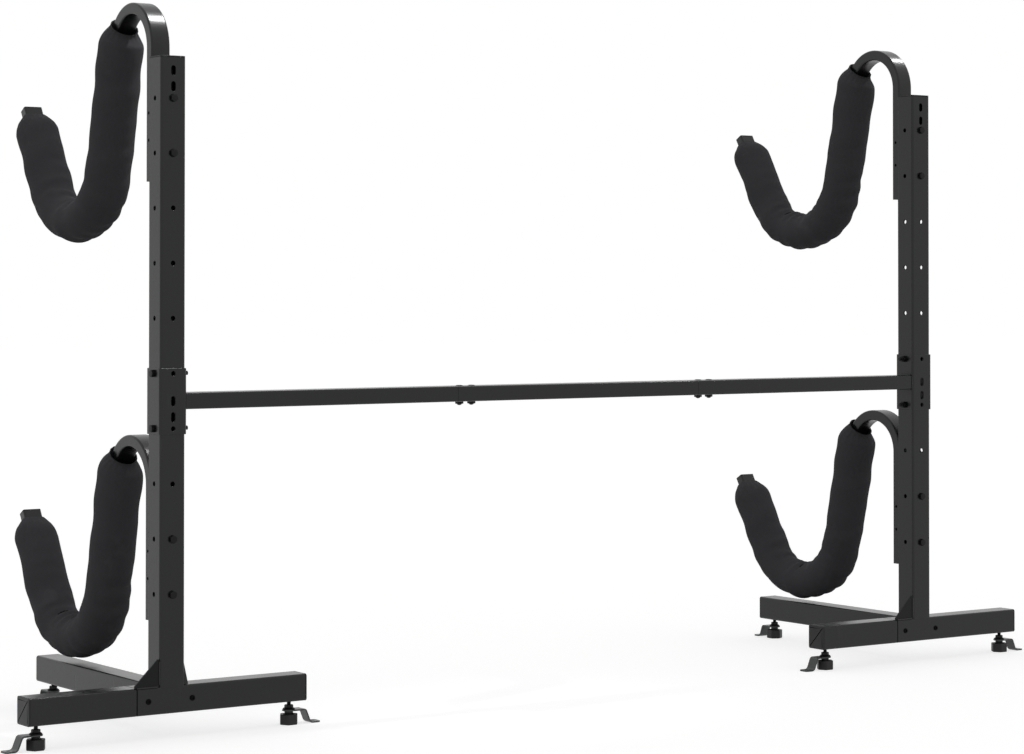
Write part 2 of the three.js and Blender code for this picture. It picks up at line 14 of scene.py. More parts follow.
import bmesh
import bpy
import numpy as np
from mathutils import Euler, Matrix, Vector


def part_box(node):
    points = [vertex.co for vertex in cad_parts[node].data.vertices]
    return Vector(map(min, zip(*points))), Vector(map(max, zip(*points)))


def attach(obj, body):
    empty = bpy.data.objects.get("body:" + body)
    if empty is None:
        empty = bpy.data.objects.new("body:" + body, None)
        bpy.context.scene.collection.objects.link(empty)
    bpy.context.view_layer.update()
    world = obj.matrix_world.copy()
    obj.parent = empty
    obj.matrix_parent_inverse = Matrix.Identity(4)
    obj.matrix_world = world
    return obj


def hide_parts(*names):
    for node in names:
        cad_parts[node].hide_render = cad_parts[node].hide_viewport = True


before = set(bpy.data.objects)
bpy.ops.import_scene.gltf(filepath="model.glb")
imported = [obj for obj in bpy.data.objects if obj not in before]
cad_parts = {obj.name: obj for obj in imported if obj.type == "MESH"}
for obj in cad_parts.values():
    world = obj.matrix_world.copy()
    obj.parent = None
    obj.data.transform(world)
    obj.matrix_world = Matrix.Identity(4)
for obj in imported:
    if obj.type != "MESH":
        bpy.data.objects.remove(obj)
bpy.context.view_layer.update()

log = logging.getLogger("kayak_rack")

Place = tuple[float, float, float]
Colour = tuple[float, float, float]

ENDS = ("left", "right")
TIERS = ("upper", "lower")
QUARTER = math.pi / 2
SMOOTH_ANGLE = math.radians(30)
SOFTEN_ANGLE = math.radians(40)
TINY = 1e-6         # points nearer than this are one
FACING = 0.9        # least cosine of a face or an edge that counts as facing an axis
LEVEL = 0.999       # the same for a face that has to be quite level
GAP = 0.0003        # what the frame leaves between two pieces that touch
EDGE_BREAK = 0.0005


# ---- The bench: modelling by hand, in code ---------------------------------------------------
class Axis(Enum):
    """A direction of the row frame, by the number of its coordinate."""

    X = 0
    Y = 1
    Z = 2

    @property
    def vector(self) -> Vector:
        """Unit vector along the axis."""
        return Vector([float(index == self.value) for index in range(3)])

    @property
    def turn(self) -> Place:
        """Euler angles that lay a piece made along Z along this axis."""
        return {Axis.X: (0.0, QUARTER, 0.0), Axis.Y: (-QUARTER, 0.0, 0.0), Axis.Z: (0.0, 0.0, 0.0)}[self]

    @property
    def matrix(self) -> Matrix:
        """The same turn as a matrix."""
        return Euler(self.turn).to_matrix().to_4x4()


class Pick(Enum):
    """What a selection in edit mode is made of."""

    VERTICES = "VERT"
    EDGES = "EDGE"
    FACES = "FACE"


class Slot(Enum):
    """A material slot of the record, which each piece names along with its finish."""

    STEEL = "steel"
    PLASTIC = "plastic"
    FABRIC = "fabric"
    ZINC = "zinc"


@dataclass(frozen=True)
class Box:
    """The box of a frame node."""

    low: Vector
    high: Vector

    @classmethod
    def of(cls, node: str) -> "Box":
        """The box of the node with this name."""
        return cls(*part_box(node))

    @property
    def centre(self) -> Vector:
        """Its middle."""
        return (self.low + self.high) / 2

    @property
    def size(self) -> Vector:
        """Its edges."""
        return self.high - self.low

    def at(self, **parts: float) -> Vector:
        """Its middle, with some coordinates set, by name."""
        return Vector([parts.get(name, value) for name, value in zip("xyz", self.centre)])


def deselect_all() -> None:
    """Leave nothing selected, so that an operator acts only on what is chosen next."""
    for other in bpy.context.selected_objects:
        other.select_set(False)


class Model:
    """One mesh on the bench, shaped by the same operators as a modeller uses by hand."""

    def __init__(self, obj: bpy.types.Object) -> None:
        """Take up a mesh object, which is in object mode."""
        self.obj = obj

    @classmethod
    def _added(cls, name: str) -> "Model":
        """The primitive just added, with its size and turn moved into its mesh."""
        obj = bpy.context.object
        obj.name = name
        bpy.ops.object.transform_apply(location=True, rotation=True, scale=True)
        return cls(obj)

    @classmethod
    def block(cls, name: str, centre: Sequence[float], size: Sequence[float]) -> "Model":
        """Start from a cube.

        Args:
            name: Name of the new object.
            centre: Its middle.
            size: Its three edges.

        Returns:
            The block.
        """
        deselect_all()
        bpy.ops.mesh.primitive_cube_add(size=1.0, location=centre)
        bpy.context.object.scale = size
        return cls._added(name)

    @classmethod
    def rod(cls, name: str, centre: Sequence[float], radius: float, length: float,
            axis: Axis = Axis.Z, sides: int = 32) -> "Model":
        """Start from a cylinder.

        Args:
            name: Name of the new object.
            centre: Its middle.
            radius: Radius over the corners.
            length: Length along the axis.
            axis: The way it lies.
            sides: Number of its sides.

        Returns:
            The rod.
        """
        deselect_all()
        bpy.ops.mesh.primitive_cylinder_add(
            vertices=sides, radius=radius, depth=length, location=centre, rotation=axis.turn)
        return cls._added(name)

    @classmethod
    def plate(cls, name: str, centre: Sequence[float], size: Sequence[float]) -> "Model":
        """Start from a flat rectangle that faces up.

        Args:
            name: Name of the new object.
            centre: Its middle.
            size: Its edges along X and Y.

        Returns:
            The plate.
        """
        deselect_all()
        bpy.ops.mesh.primitive_plane_add(size=1.0, location=centre)
        bpy.context.object.scale = (*size, 1.0)
        return cls._added(name)

    @classmethod
    def outline(cls, name: str, points: Sequence[Sequence[float]]) -> "Model":
        """Draw a chain of edges: a plane merged to a point, then extruded from point to point.

        Args:
            name: Name of the new object.
            points: The corners of the chain.

        Returns:
            The wire.
        """
        wire = cls.plate(name, points[0], (TINY, TINY))
        wire._edit(Pick.VERTICES)
        bpy.ops.mesh.select_all(action="SELECT")
        bpy.ops.mesh.merge(type="CENTER")
        for start, end in zip(points, points[1:]):
            bpy.ops.mesh.extrude_region_move(
                TRANSFORM_OT_translate={"value": Vector(end) - Vector(start)})
        wire._done()
        return wire

    @classmethod
    def turned(cls, name: str, profile: Sequence[tuple[float, float]], sides: int = 32) -> "Model":
        """Turn a profile about the vertical axis.

        Args:
            name: Name of the new object.
            profile: Pairs of radius and height. A closed body starts and ends on the axis.
            sides: Steps of the full turn.

        Returns:
            The turned piece.
        """
        piece = cls.outline(name, [(radius, 0.0, height) for radius, height in profile])
        piece.pick_all(Pick.VERTICES)
        piece.spin(math.tau, (0.0, 0.0, 0.0), Axis.Z, sides)
        return piece.tidy()

    @classmethod
    def slab(cls, name: str, corners: Sequence[Sequence[float]], depth: float) -> "Model":
        """Fill an outline that lies in an XZ plane and extrude it along Y.

        Args:
            name: Name of the new object.
            corners: The outline's corners.
            depth: Thickness of the slab.

        Returns:
            The slab, with its edges broken.
        """
        slab = cls.outline(name, corners)
        slab.pick_all(Pick.EDGES).work(bpy.ops.mesh.edge_face_add)
        slab.pick_all().extrude((0.0, depth, 0.0))
        return slab.tidy().soften(EDGE_BREAK)

    @classmethod
    def lofted(cls, name: str, rings: np.ndarray, closed: bool) -> "Model":
        """Join rings of points with quads.

        Args:
            name: Name of the new object.
            rings: Points, by ring and side.
            closed: Whether the last ring meets the first.

        Returns:
            The skin.
        """
        rows, sides = rings.shape[:2]
        faces = [
            (row * sides + side, (row + 1) % rows * sides + side,
             (row + 1) % rows * sides + (side + 1) % sides, row * sides + (side + 1) % sides)
            for row in range(rows if closed else rows - 1) for side in range(sides)]
        mesh = bpy.data.meshes.new(name)
        mesh.from_pydata(rings.reshape(-1, 3).tolist(), [], faces)
        obj = bpy.data.objects.new(name, mesh)
        bpy.context.scene.collection.objects.link(obj)
        return cls(obj)

    def _activate(self) -> None:
        """Make this the only selected object, and the active one."""
        deselect_all()
        self.obj.select_set(True)
        bpy.context.view_layer.objects.active = self.obj

    def _edit(self, pick: Pick | None = None) -> None:
        """Enter edit mode, and choose what is picked there."""
        self._activate()
        bpy.ops.object.mode_set(mode="EDIT")
        if pick is not None:
            bpy.ops.mesh.select_mode(type=pick.value)

    @staticmethod
    def _done() -> None:
        """Back to object mode."""
        bpy.ops.object.mode_set(mode="OBJECT")

    def pick_all(self, pick: Pick = Pick.FACES) -> "Model":
        """Select the whole mesh."""
        self._edit(pick)
        bpy.ops.mesh.select_all(action="SELECT")
        self._done()
        return self

    def pick_faces(self, test: Callable[[Vector, Vector], bool]) -> "Model":
        """Select faces by their middle and their normal."""
        return self._pick(Pick.FACES, lambda face: test(face.calc_center_median(), face.normal))

    def pick_edges(self, test: Callable[[Vector, Vector], bool]) -> "Model":
        """Select edges by their middle and their direction."""
        def chosen(edge: bmesh.types.BMEdge) -> bool:
            start, end = (vertex.co for vertex in edge.verts)
            return test((start + end) / 2, (end - start).normalized())
        return self._pick(Pick.EDGES, chosen)

    def pick_points(self, test: Callable[[Vector], bool]) -> "Model":
        """Select vertices by their place."""
        return self._pick(Pick.VERTICES, lambda vertex: test(vertex.co))

    def pick_caps(self) -> "Model":
        """Select faces of more than four corners."""
        return self._pick(Pick.FACES, lambda face: len(face.verts) > 4)

    def _pick(self, pick: Pick, chosen: Callable[[Any], bool]) -> "Model":
        """Select what a test chooses among the elements of one kind."""
        self._edit(pick)
        bpy.ops.mesh.select_all(action="DESELECT")
        mesh = bmesh.from_edit_mesh(self.obj.data)
        elements = {Pick.VERTICES: mesh.verts, Pick.EDGES: mesh.edges, Pick.FACES: mesh.faces}[pick]
        for element in elements:
            if chosen(element):
                element.select_set(True)
        bmesh.update_edit_mesh(self.obj.data)
        self._done()
        return self

    def work(self, operator: Callable[..., set[str]], **settings: Any) -> "Model":
        """Run one mesh operator on what is selected."""
        self._edit()
        operator(**settings)
        self._done()
        return self

    def move(self, offset: Sequence[float]) -> "Model":
        """Move what is selected."""
        return self.work(bpy.ops.transform.translate, value=offset)

    def extrude(self, offset: Sequence[float]) -> "Model":
        """Extrude what is selected along an offset."""
        return self.work(bpy.ops.mesh.extrude_region_move, TRANSFORM_OT_translate={"value": offset})

    def inset(self, thickness: float) -> "Model":
        """Inset each selected face."""
        return self.work(bpy.ops.mesh.inset, thickness=thickness, use_individual=True)

    def bevel(self, width: float, segments: int = 1, corners: bool = False) -> "Model":
        """Round the selected edges, or with corners the selected vertices of a flat outline."""
        return self.work(
            bpy.ops.mesh.bevel, offset=width, segments=segments,
            affect="VERTICES" if corners else "EDGES")

    def spin(self, turn: float, centre: Sequence[float], axis: Axis, steps: int) -> "Model":
        """Extrude what is selected round an axis, by the right-hand rule."""
        return self.work(
            bpy.ops.mesh.spin, steps=steps, angle=-turn, center=centre, axis=axis.vector)

    def tidy(self) -> "Model":
        """Merge doubled points and turn every face of a closed body outwards."""
        self.pick_all()
        self.work(bpy.ops.mesh.remove_doubles, threshold=TINY)
        self.pick_all()
        return self.work(bpy.ops.mesh.normals_make_consistent, inside=False)

    def fill_rims(self) -> "Model":
        """Close every open rim with one face."""
        self._edit(Pick.EDGES)
        bpy.ops.mesh.select_all(action="DESELECT")
        bpy.ops.mesh.select_non_manifold()
        bpy.ops.mesh.fill_holes(sides=0)
        self._done()
        return self

    def modify(self, kind: str, **settings: Any) -> "Model":
        """Add a modifier and apply it at once."""
        self._activate()
        modifier = self.obj.modifiers.new(kind.title(), kind)
        for key, value in settings.items():
            setattr(modifier, key, value)
        bpy.ops.object.modifier_apply(modifier=modifier.name)
        return self

    def combine(self, others: Sequence["Model"], operation: str) -> "Model":
        """Join, cut or intersect with closed bodies, which are used up."""
        if not others:
            return self
        tool = others[0].with_parts(others[1:])
        self.modify("BOOLEAN", operation=operation, object=tool.obj, solver="EXACT")
        tool.discard()
        return self

    def cut(self, others: Sequence["Model"]) -> "Model":
        """Take closed bodies out of this one. They must not overlap each other."""
        return self.combine(others, "DIFFERENCE")

    def with_parts(self, others: Sequence["Model"]) -> "Model":
        """Join other meshes to this one as they are."""
        if others:
            self._activate()
            for other in others:
                other.obj.select_set(True)
            bpy.ops.object.join()
        return self

    def turned_about(self, axis: Axis, angle: float) -> "Model":
        """Turn the mesh about an axis through the origin."""
        self.obj.data.transform(Matrix.Rotation(angle, 4, axis.vector))
        return self

    def copy(self, name: str, place: Matrix | None = None) -> "Model":
        """Copy the piece with a mesh of its own.

        Args:
            name: Name of the copy.
            place: Where it goes, applied to its mesh.

        Returns:
            The copy.
        """
        twin = self.obj.copy()
        twin.data = self.obj.data.copy()
        twin.name = name
        bpy.context.scene.collection.objects.link(twin)
        if place is not None:
            twin.data.transform(place)
        return Model(twin)

    def discard(self, *others: "Model") -> None:
        """Take the piece and others off the bench."""
        for model in (self, *others):
            bpy.data.objects.remove(model.obj)

    def soften(self, width: float = 0.0004) -> "Model":
        """Break the sharp edges with a narrow chamfer and set the shading."""
        self.modify(
            "BEVEL", width=width, segments=1, limit_method="ANGLE",
            angle_limit=SOFTEN_ANGLE, use_clamp_overlap=True)
        return self.shade()

    def shade(self) -> "Model":
        """Smooth the round parts and keep the flat ones flat."""
        self._activate()
        bpy.ops.object.shade_smooth_by_angle(angle=SMOOTH_ANGLE)
        return self.modify("WEIGHTED_NORMAL", keep_sharp=True)

    def fit(self, finish: bpy.types.Material, slot: Slot, body: str, *replaced: str) -> "Model":
        """Hand the finished piece over to the frame.

        Args:
            finish: Its material.
            slot: The record's slot that the finish belongs to. Not used.
            body: The frame's body that it moves with.
            replaced: Frame nodes that it stands for.

        Returns:
            The piece.
        """
        self.obj.data.materials.clear()
        self.obj.data.materials.append(finish)
        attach(self.obj, body)
        if replaced:
            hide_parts(*replaced)
        log.info("%s: %d faces", self.obj.name, len(self.obj.data.polygons))
        return self


def placed(x: float, y: float, z: float, turn: float = 0.0) -> Matrix:
    """A shift, after a turn about the vertical axis."""
    return Matrix.Translation((x, y, z)) @ Matrix.Rotation(turn, 4, "Z")


# ---- Finishes ------------------------------------------------------------------------------
class Socket:
    """An output of a shader graph that takes part in Python expressions."""

    def __init__(self, graph: "Graph", socket: bpy.types.NodeSocket) -> None:
        """Wrap a socket of a graph."""
        self.graph = graph
        self.socket = socket

    def _maths(self, operation: str, *values: Any) -> "Socket":
        """A Math node on this and other values."""
        return self.graph.node("ShaderNodeMath", {"operation": operation}, dict(enumerate(values)))

    def __add__(self, other: Any) -> "Socket":
        """Sum."""
        return self._maths("ADD", self, other)

    def __radd__(self, other: Any) -> "Socket":
        """Sum, turned round."""
        return self._maths("ADD", other, self)

    def __sub__(self, other: Any) -> "Socket":
        """Difference."""
        return self._maths("SUBTRACT", self, other)

    def __rsub__(self, other: Any) -> "Socket":
        """Difference, turned round."""
        return self._maths("SUBTRACT", other, self)

    def __mul__(self, other: Any) -> "Socket":
        """Product."""
        return self._maths("MULTIPLY", self, other)

    def __rmul__(self, other: Any) -> "Socket":
        """Product, turned round."""
        return self._maths("MULTIPLY", other, self)

    def sine(self) -> "Socket":
        """Sine of an angle in radians."""
        return self._maths("SINE", self)

    def size(self) -> "Socket":
        """Absolute value."""
        return self._maths("ABSOLUTE", self)

    def over(self, edge: float, width: float) -> "Socket":
        """Rise smoothly from 0 to 1 as the value passes an edge.

        Args:
            edge: The value where the rise starts.
            width: How far the rise goes on.

        Returns:
            The mask.
        """
        return self.graph.node(
            "ShaderNodeMapRange", {"interpolation_type": "SMOOTHSTEP"},
            {"Value": self, "From Min": edge, "From Max": edge + width})


class Graph:
    """The nodes of a material or of the surround."""

    def __init__(self, owner: bpy.types.Material | bpy.types.World) -> None:
        """Take up what the nodes belong to."""
        owner.use_nodes = True
        self.owner = owner
        self.nodes = owner.node_tree.nodes
        self.links = owner.node_tree.links

    @classmethod
    def material(cls, name: str) -> "Graph":
        """Start a material with a Principled shader."""
        return cls(bpy.data.materials.new(name))

    def node(self, kind: str, settings: dict[str, Any], values: dict[Any, Any],
             output: int | str = 0) -> Socket:
        """Add a node.

        Args:
            kind: Its type.
            settings: Its own settings, which are set first.
            values: Values or links for its inputs, by name or number.
            output: The output that is wanted.

        Returns:
            That output.
        """
        made = self.nodes.new(kind)
        for key, value in settings.items():
            setattr(made, key, value)
        for key, value in values.items():
            self.feed(made.inputs[key], value)
        return Socket(self, made.outputs[output])

    def feed(self, target: bpy.types.NodeSocket, value: Any) -> None:
        """Link or set one input."""
        if isinstance(value, Socket):
            self.links.new(value.socket, target)
        else:
            target.default_value = value

    def place(self) -> Socket:
        """Object coordinates, in metres, because every piece stands at the origin."""
        return self.node("ShaderNodeTexCoord", {}, {}, "Object")

    def stretched(self, vector: Socket, scale: Sequence[float]) -> Socket:
        """Coordinates drawn out by a scale on each axis."""
        return self.node("ShaderNodeMapping", {}, {"Vector": vector, "Scale": scale})

    def noise(self, vector: Socket, scale: float, detail: float = 2.0) -> Socket:
        """Cloudy noise from 0 to 1.

        Args:
            vector: Coordinates.
            scale: Clouds per metre.
            detail: Octaves of finer cloud.

        Returns:
            The noise.
        """
        return self.node(
            "ShaderNodeTexNoise", {}, {"Vector": vector, "Scale": scale, "Detail": detail})

    def tint(self, low: Sequence[float] | Socket, high: Sequence[float], share: Socket) -> Socket:
        """Mix two colours by a mask. The low one may come from other nodes."""
        start = low if isinstance(low, Socket) else (*low, 1.0)
        return self.node(
            "ShaderNodeMix", {"data_type": "RGBA"}, {"Factor": share, 6: start, 7: (*high, 1.0)}, 2)

    def seen(self) -> Socket:
        """A mask that is 1 for rays that show a surface: straight, mirrored or through glass."""
        straight, mirrored, through = (
            self.node("ShaderNodeLightPath", {}, {}, f"Is {kind} Ray")
            for kind in ("Camera", "Glossy", "Transmission"))
        return straight + mirrored + through

    def bump(self, height: Socket, depth: float, strength: float = 1.0,
             under: Socket | None = None) -> Socket:
        """Raise a height map.

        Args:
            height: The map, from 0 to 1.
            depth: What 1 stands for, in metres.
            strength: Share of the effect.
            under: A normal to add it to.

        Returns:
            The normal.
        """
        values = {"Height": height, "Distance": depth, "Strength": strength}
        if under is not None:
            values["Normal"] = under
        return self.node("ShaderNodeBump", {}, values)

    def dress(self, **values: Any) -> bpy.types.Material:
        """Set the shader's inputs, by their names with _ for a space."""
        shader = self.nodes["Principled BSDF"]
        for key, value in values.items():
            self.feed(shader.inputs[key.replace("_", " ")], value)
        return self.owner


@dataclass(frozen=True)
class PowderCoat:
    """Baked powder on steel: a fine orange peel, faint clouds, and thin rub marks."""

    low: Colour = (0.0030, 0.0034, 0.0034)
    high: Colour = (0.0055, 0.0060, 0.0060)
    rub: Colour = (0.014, 0.015, 0.015)
    gloss: float = 0.27
    mirror: float = 0.36
    cloud_scale: float = 9.0
    peel_scale: float = 1100.0
    peel_depth: float = 0.00005
    grain_scale: float = 2600.0

    def material(self, name: str) -> bpy.types.Material:
        """Build the finish.

        Args:
            name: The material's name.

        Returns:
            The material.
        """
        graph = Graph.material(name)
        here = graph.place()
        clouds = graph.noise(here, self.cloud_scale, 4.0)
        peel = graph.noise(here, self.peel_scale, 1.0)
        grains = graph.noise(here, self.grain_scale, 0.0)
        streaks = graph.noise(graph.stretched(here, (60.0, 60.0, 9.0)), 1.0, 3.0).over(0.66, 0.10)
        coat = graph.tint(self.low, self.high, clouds)
        return graph.dress(
            Base_Color=graph.tint(coat, self.rub, streaks * 0.45),
            Roughness=clouds * 0.10 + grains * 0.06 + (self.gloss - 0.07) - streaks * 0.05,
            Normal=graph.bump(peel, self.peel_depth, 0.5), Specular_IOR_Level=self.mirror)


@dataclass(frozen=True)
class MouldedPlastic:
    """Black moulded plastic with a fine spark-eroded grain."""

    low: Colour = (0.0030, 0.0030, 0.0032)
    high: Colour = (0.0065, 0.0065, 0.0068)
    gloss: float = 0.48
    mirror: float = 0.36
    grain_scale: float = 1900.0
    grain_depth: float = 0.00005
    cloud_scale: float = 40.0

    def material(self, name: str) -> bpy.types.Material:
        """Build the finish.

        Args:
            name: The material's name.

        Returns:
            The material.
        """
        graph = Graph.material(name)
        here = graph.place()
        grain = graph.node(
            "ShaderNodeTexVoronoi", {"feature": "SMOOTH_F1"},
            {"Vector": here, "Scale": self.grain_scale})
        clouds = graph.noise(here, self.cloud_scale, 3.0)
        return graph.dress(
            Base_Color=graph.tint(self.low, self.high, clouds),
            Roughness=clouds * 0.12 + (self.gloss - 0.06),
            Normal=graph.bump(grain, self.grain_depth, 0.6), Specular_IOR_Level=self.mirror)


@dataclass(frozen=True)
class PlatedSteel:
    """Plate or oxide on steel: fine crystals, drawn marks and a little dulling."""

    low: Colour
    high: Colour
    gloss: float
    metal: float = 1.0
    mirror: float = 0.5
    crystal_scale: float = 420.0
    cloud_scale: float = 70.0
    drawn: Place = (2200.0, 160.0, 160.0)
    mark_depth: float = 0.00003

    def material(self, name: str) -> bpy.types.Material:
        """Build the finish.

        Args:
            name: The material's name.

        Returns:
            The material.
        """
        graph = Graph.material(name)
        here = graph.place()
        crystals = graph.node(
            "ShaderNodeTexVoronoi", {}, {"Vector": here, "Scale": self.crystal_scale}, "Color")
        flakes = graph.noise(crystals, 3.0, 0.0)
        clouds = graph.noise(here, self.cloud_scale, 4.0)
        marks = graph.noise(graph.stretched(here, self.drawn), 1.0, 1.0)
        return graph.dress(
            Base_Color=graph.tint(self.low, self.high, flakes * 0.5 + clouds * 0.5),
            Roughness=clouds * 0.16 + flakes * 0.08 + (self.gloss - 0.12),
            Metallic=self.metal, Specular_IOR_Level=self.mirror,
            Normal=graph.bump(marks, self.mark_depth, 0.5))


@dataclass(frozen=True)
class WovenNylon:
    """Coarse plain-woven nylon. The weave follows the piece's UV map, which is in metres."""

    girth: float
    low: Colour = (0.0400, 0.0400, 0.0425)
    high: Colour = (0.0640, 0.0635, 0.0690)
    rub: Colour = (0.078, 0.078, 0.084)
    yarn: float = 0.0011
    weave_depth: float = 0.00022
    crease_depth: float = 0.0016
    seam_edge: float = 0.0042
    stitch: float = 0.0036
    stitch_depth: float = 0.0006
    thread: float = 0.00035

    def material(self, name: str) -> bpy.types.Material:
        """Build the finish.

        Args:
            name: The material's name.

        Returns:
            The material.
        """
        graph = Graph.material(name)
        here = graph.place()
        flat = graph.node("ShaderNodeUVMap", {"uv_map": "cut"}, {})
        wobble = graph.noise(flat, 30.0, 2.0)
        parts = [graph.node("ShaderNodeSeparateXYZ", {}, {"Vector": flat}, part)
                 for part in ("X", "Y")]
        rate = math.tau / self.yarn
        warp = (parts[0] * rate + wobble * 1.2).sine()
        weft = (parts[1] * rate + wobble * 1.2).sine()
        weave = warp * weft * 0.5 + 0.5
        slubs = graph.noise(graph.stretched(flat, (900.0, 60.0, 1.0)), 1.0, 1.0)
        creases = graph.noise(here, 34.0, 5.0)
        clouds = graph.noise(here, 7.0, 3.0)
        cloth = graph.tint(self.low, self.high, weave * 0.45 + clouds * 0.35 + slubs * 0.20)
        rubbed = graph.noise(here, 16.0, 6.0).over(0.60, 0.16)
        stitches = self._stitches(parts)
        soft = graph.bump(creases, self.crease_depth, 0.45)
        sewing = graph.bump(stitches, self.stitch_depth, 0.8, soft)
        return graph.dress(
            Base_Color=graph.tint(
                graph.tint(cloth, self.rub, rubbed * 0.35), self.rub, stitches * 0.6),
            Roughness=clouds * 0.08 + weave * 0.04 + 0.84,
            Normal=graph.bump(weave + slubs * 0.4, self.weave_depth, 0.8, sewing),
            Specular_IOR_Level=0.10)

    def _stitches(self, parts: list[Socket]) -> Socket:
        """Two rows of stitches, one on each side of the lengthwise seam.

        Args:
            parts: Distance round the sleeve from its seam, and distance along it.

        Returns:
            A mask that is 1 on the thread.
        """
        rows = sum(1 - (parts[0] - place).size().over(self.thread, self.thread)
                   for place in (self.seam_edge, self.girth - self.seam_edge))
        return rows * (parts[1] * (math.tau / self.stitch)).sine().over(-0.4, 0.5)


@dataclass(frozen=True)
class Foam:
    """Closed-cell foam, seen only at the mouths of the sleeves."""

    low: Colour = (0.003, 0.003, 0.003)
    high: Colour = (0.008, 0.008, 0.008)

    def material(self, name: str) -> bpy.types.Material:
        """Build the finish.

        Args:
            name: The material's name.

        Returns:
            The material.
        """
        graph = Graph.material(name)
        cells = graph.node(
            "ShaderNodeTexVoronoi", {}, {"Vector": graph.place(), "Scale": 900.0})
        return graph.dress(
            Base_Color=graph.tint(self.low, self.high, cells), Roughness=0.95,
            Normal=graph.bump(cells, 0.0005, 0.9), Specular_IOR_Level=0.1)


class Finishes:
    """Every finish of the rack, built once."""

    def __init__(self) -> None:
        """Build the materials."""
        self.coat = PowderCoat().material("powder_coat")
        # A darker, less mirror-like copy of the same powder coat: painted shade for the gusset plate,
        # which sits back between the post and the bar.
        self.shade_painted_coat = PowderCoat(
            low=(0.0018, 0.0021, 0.0021), high=(0.0034, 0.0038, 0.0038), gloss=0.36, mirror=0.20,
        ).material("powder_coat_painted_shade")
        self.moulded = MouldedPlastic().material("moulded_plastic")
        self.nylon = WovenNylon(girth=math.tau * PadSize().radius).material("woven_nylon")
        self.foam = Foam().material("foam")
        self.zinc = PlatedSteel(
            (0.040, 0.042, 0.042), (0.085, 0.089, 0.087), gloss=0.36).material("dark_zinc_plate")
        self.oxide = PlatedSteel(
            (0.0020, 0.0020, 0.0022), (0.0050, 0.0050, 0.0054), gloss=0.50, metal=0.0, mirror=0.22,
        ).material("black_oxide")
        self.dull_oxide = PlatedSteel(
            (0.0015, 0.0015, 0.0017), (0.0035, 0.0035, 0.0038), gloss=0.60, metal=0.0, mirror=0.07,
        ).material("dull_black_oxide")


# ---- Square and rectangular tube -----------------------------------------------------------
@dataclass(frozen=True)
class Tube:
    """Straight welded tube with rounded corners, open at both ends."""

    width: float
    height: float
    corner: float
    wall: float
    corner_steps: int = 6

    def build(self, name: str, axis: Axis, box: Box) -> Model:
        """Model one length.

        Args:
            name: Name of the piece.
            axis: The way it runs.
            box: Its box.

        Returns:
            The hollow length, with no holes yet.
        """
        along = axis.vector
        piece = Model.block(name, box.centre, box.size)
        piece.pick_edges(lambda middle, way: abs(way.dot(along)) > FACING)
        piece.bevel(self.corner, self.corner_steps)
        piece.pick_faces(lambda middle, normal: abs(normal.dot(along)) > FACING)
        piece.inset(self.wall)
        return piece.work(bpy.ops.mesh.bridge_edge_loops)


@dataclass(frozen=True)
class Punch:
    """Round holes and slots through the walls of a tube."""

    reach: float = 0.2
    sides: int = 40
    phase: float = math.radians(4.5)    # keeps the cutter's edges off the tube's own

    def round(self, place: Vector, axis: Axis, diameter: float) -> Model:
        """A cutter for a hole right through, centred on a place."""
        cutter = Model.rod("punch", (0.0, 0.0, 0.0), diameter / 2, self.reach, Axis.Z, self.sides)
        cutter.turned_about(Axis.Z, self.phase)
        cutter.obj.data.transform(Matrix.Translation(place) @ axis.matrix)
        return cutter

    def slot(self, place: Vector, axis: Axis, width: float, length: float) -> Model:
        """A cutter for an upright slot, made of a rod whose halves are drawn apart."""
        cutter = self.round(place, axis, width)
        half = (length - width) / 2
        for side in (1, -1):
            cutter.pick_points(lambda point: (point.z - place.z) * side > 0)
            cutter.move((0.0, 0.0, side * half))
        return cutter


# ---- Posts, couplings and crossbar ---------------------------------------------------------
SQUARE = Tube(0.050, 0.050, 0.0045, 0.002)
BOLT_HOLE = 0.009
FIRST_HOLE = 0.0775                     # from a length's top to its first hole
BASE_BOLTS = (-0.0474, 0.0407)          # from the post's middle, along X
SPLICE_BOLTS = (0.018, 0.046)           # from a joint of the crossbar, along X


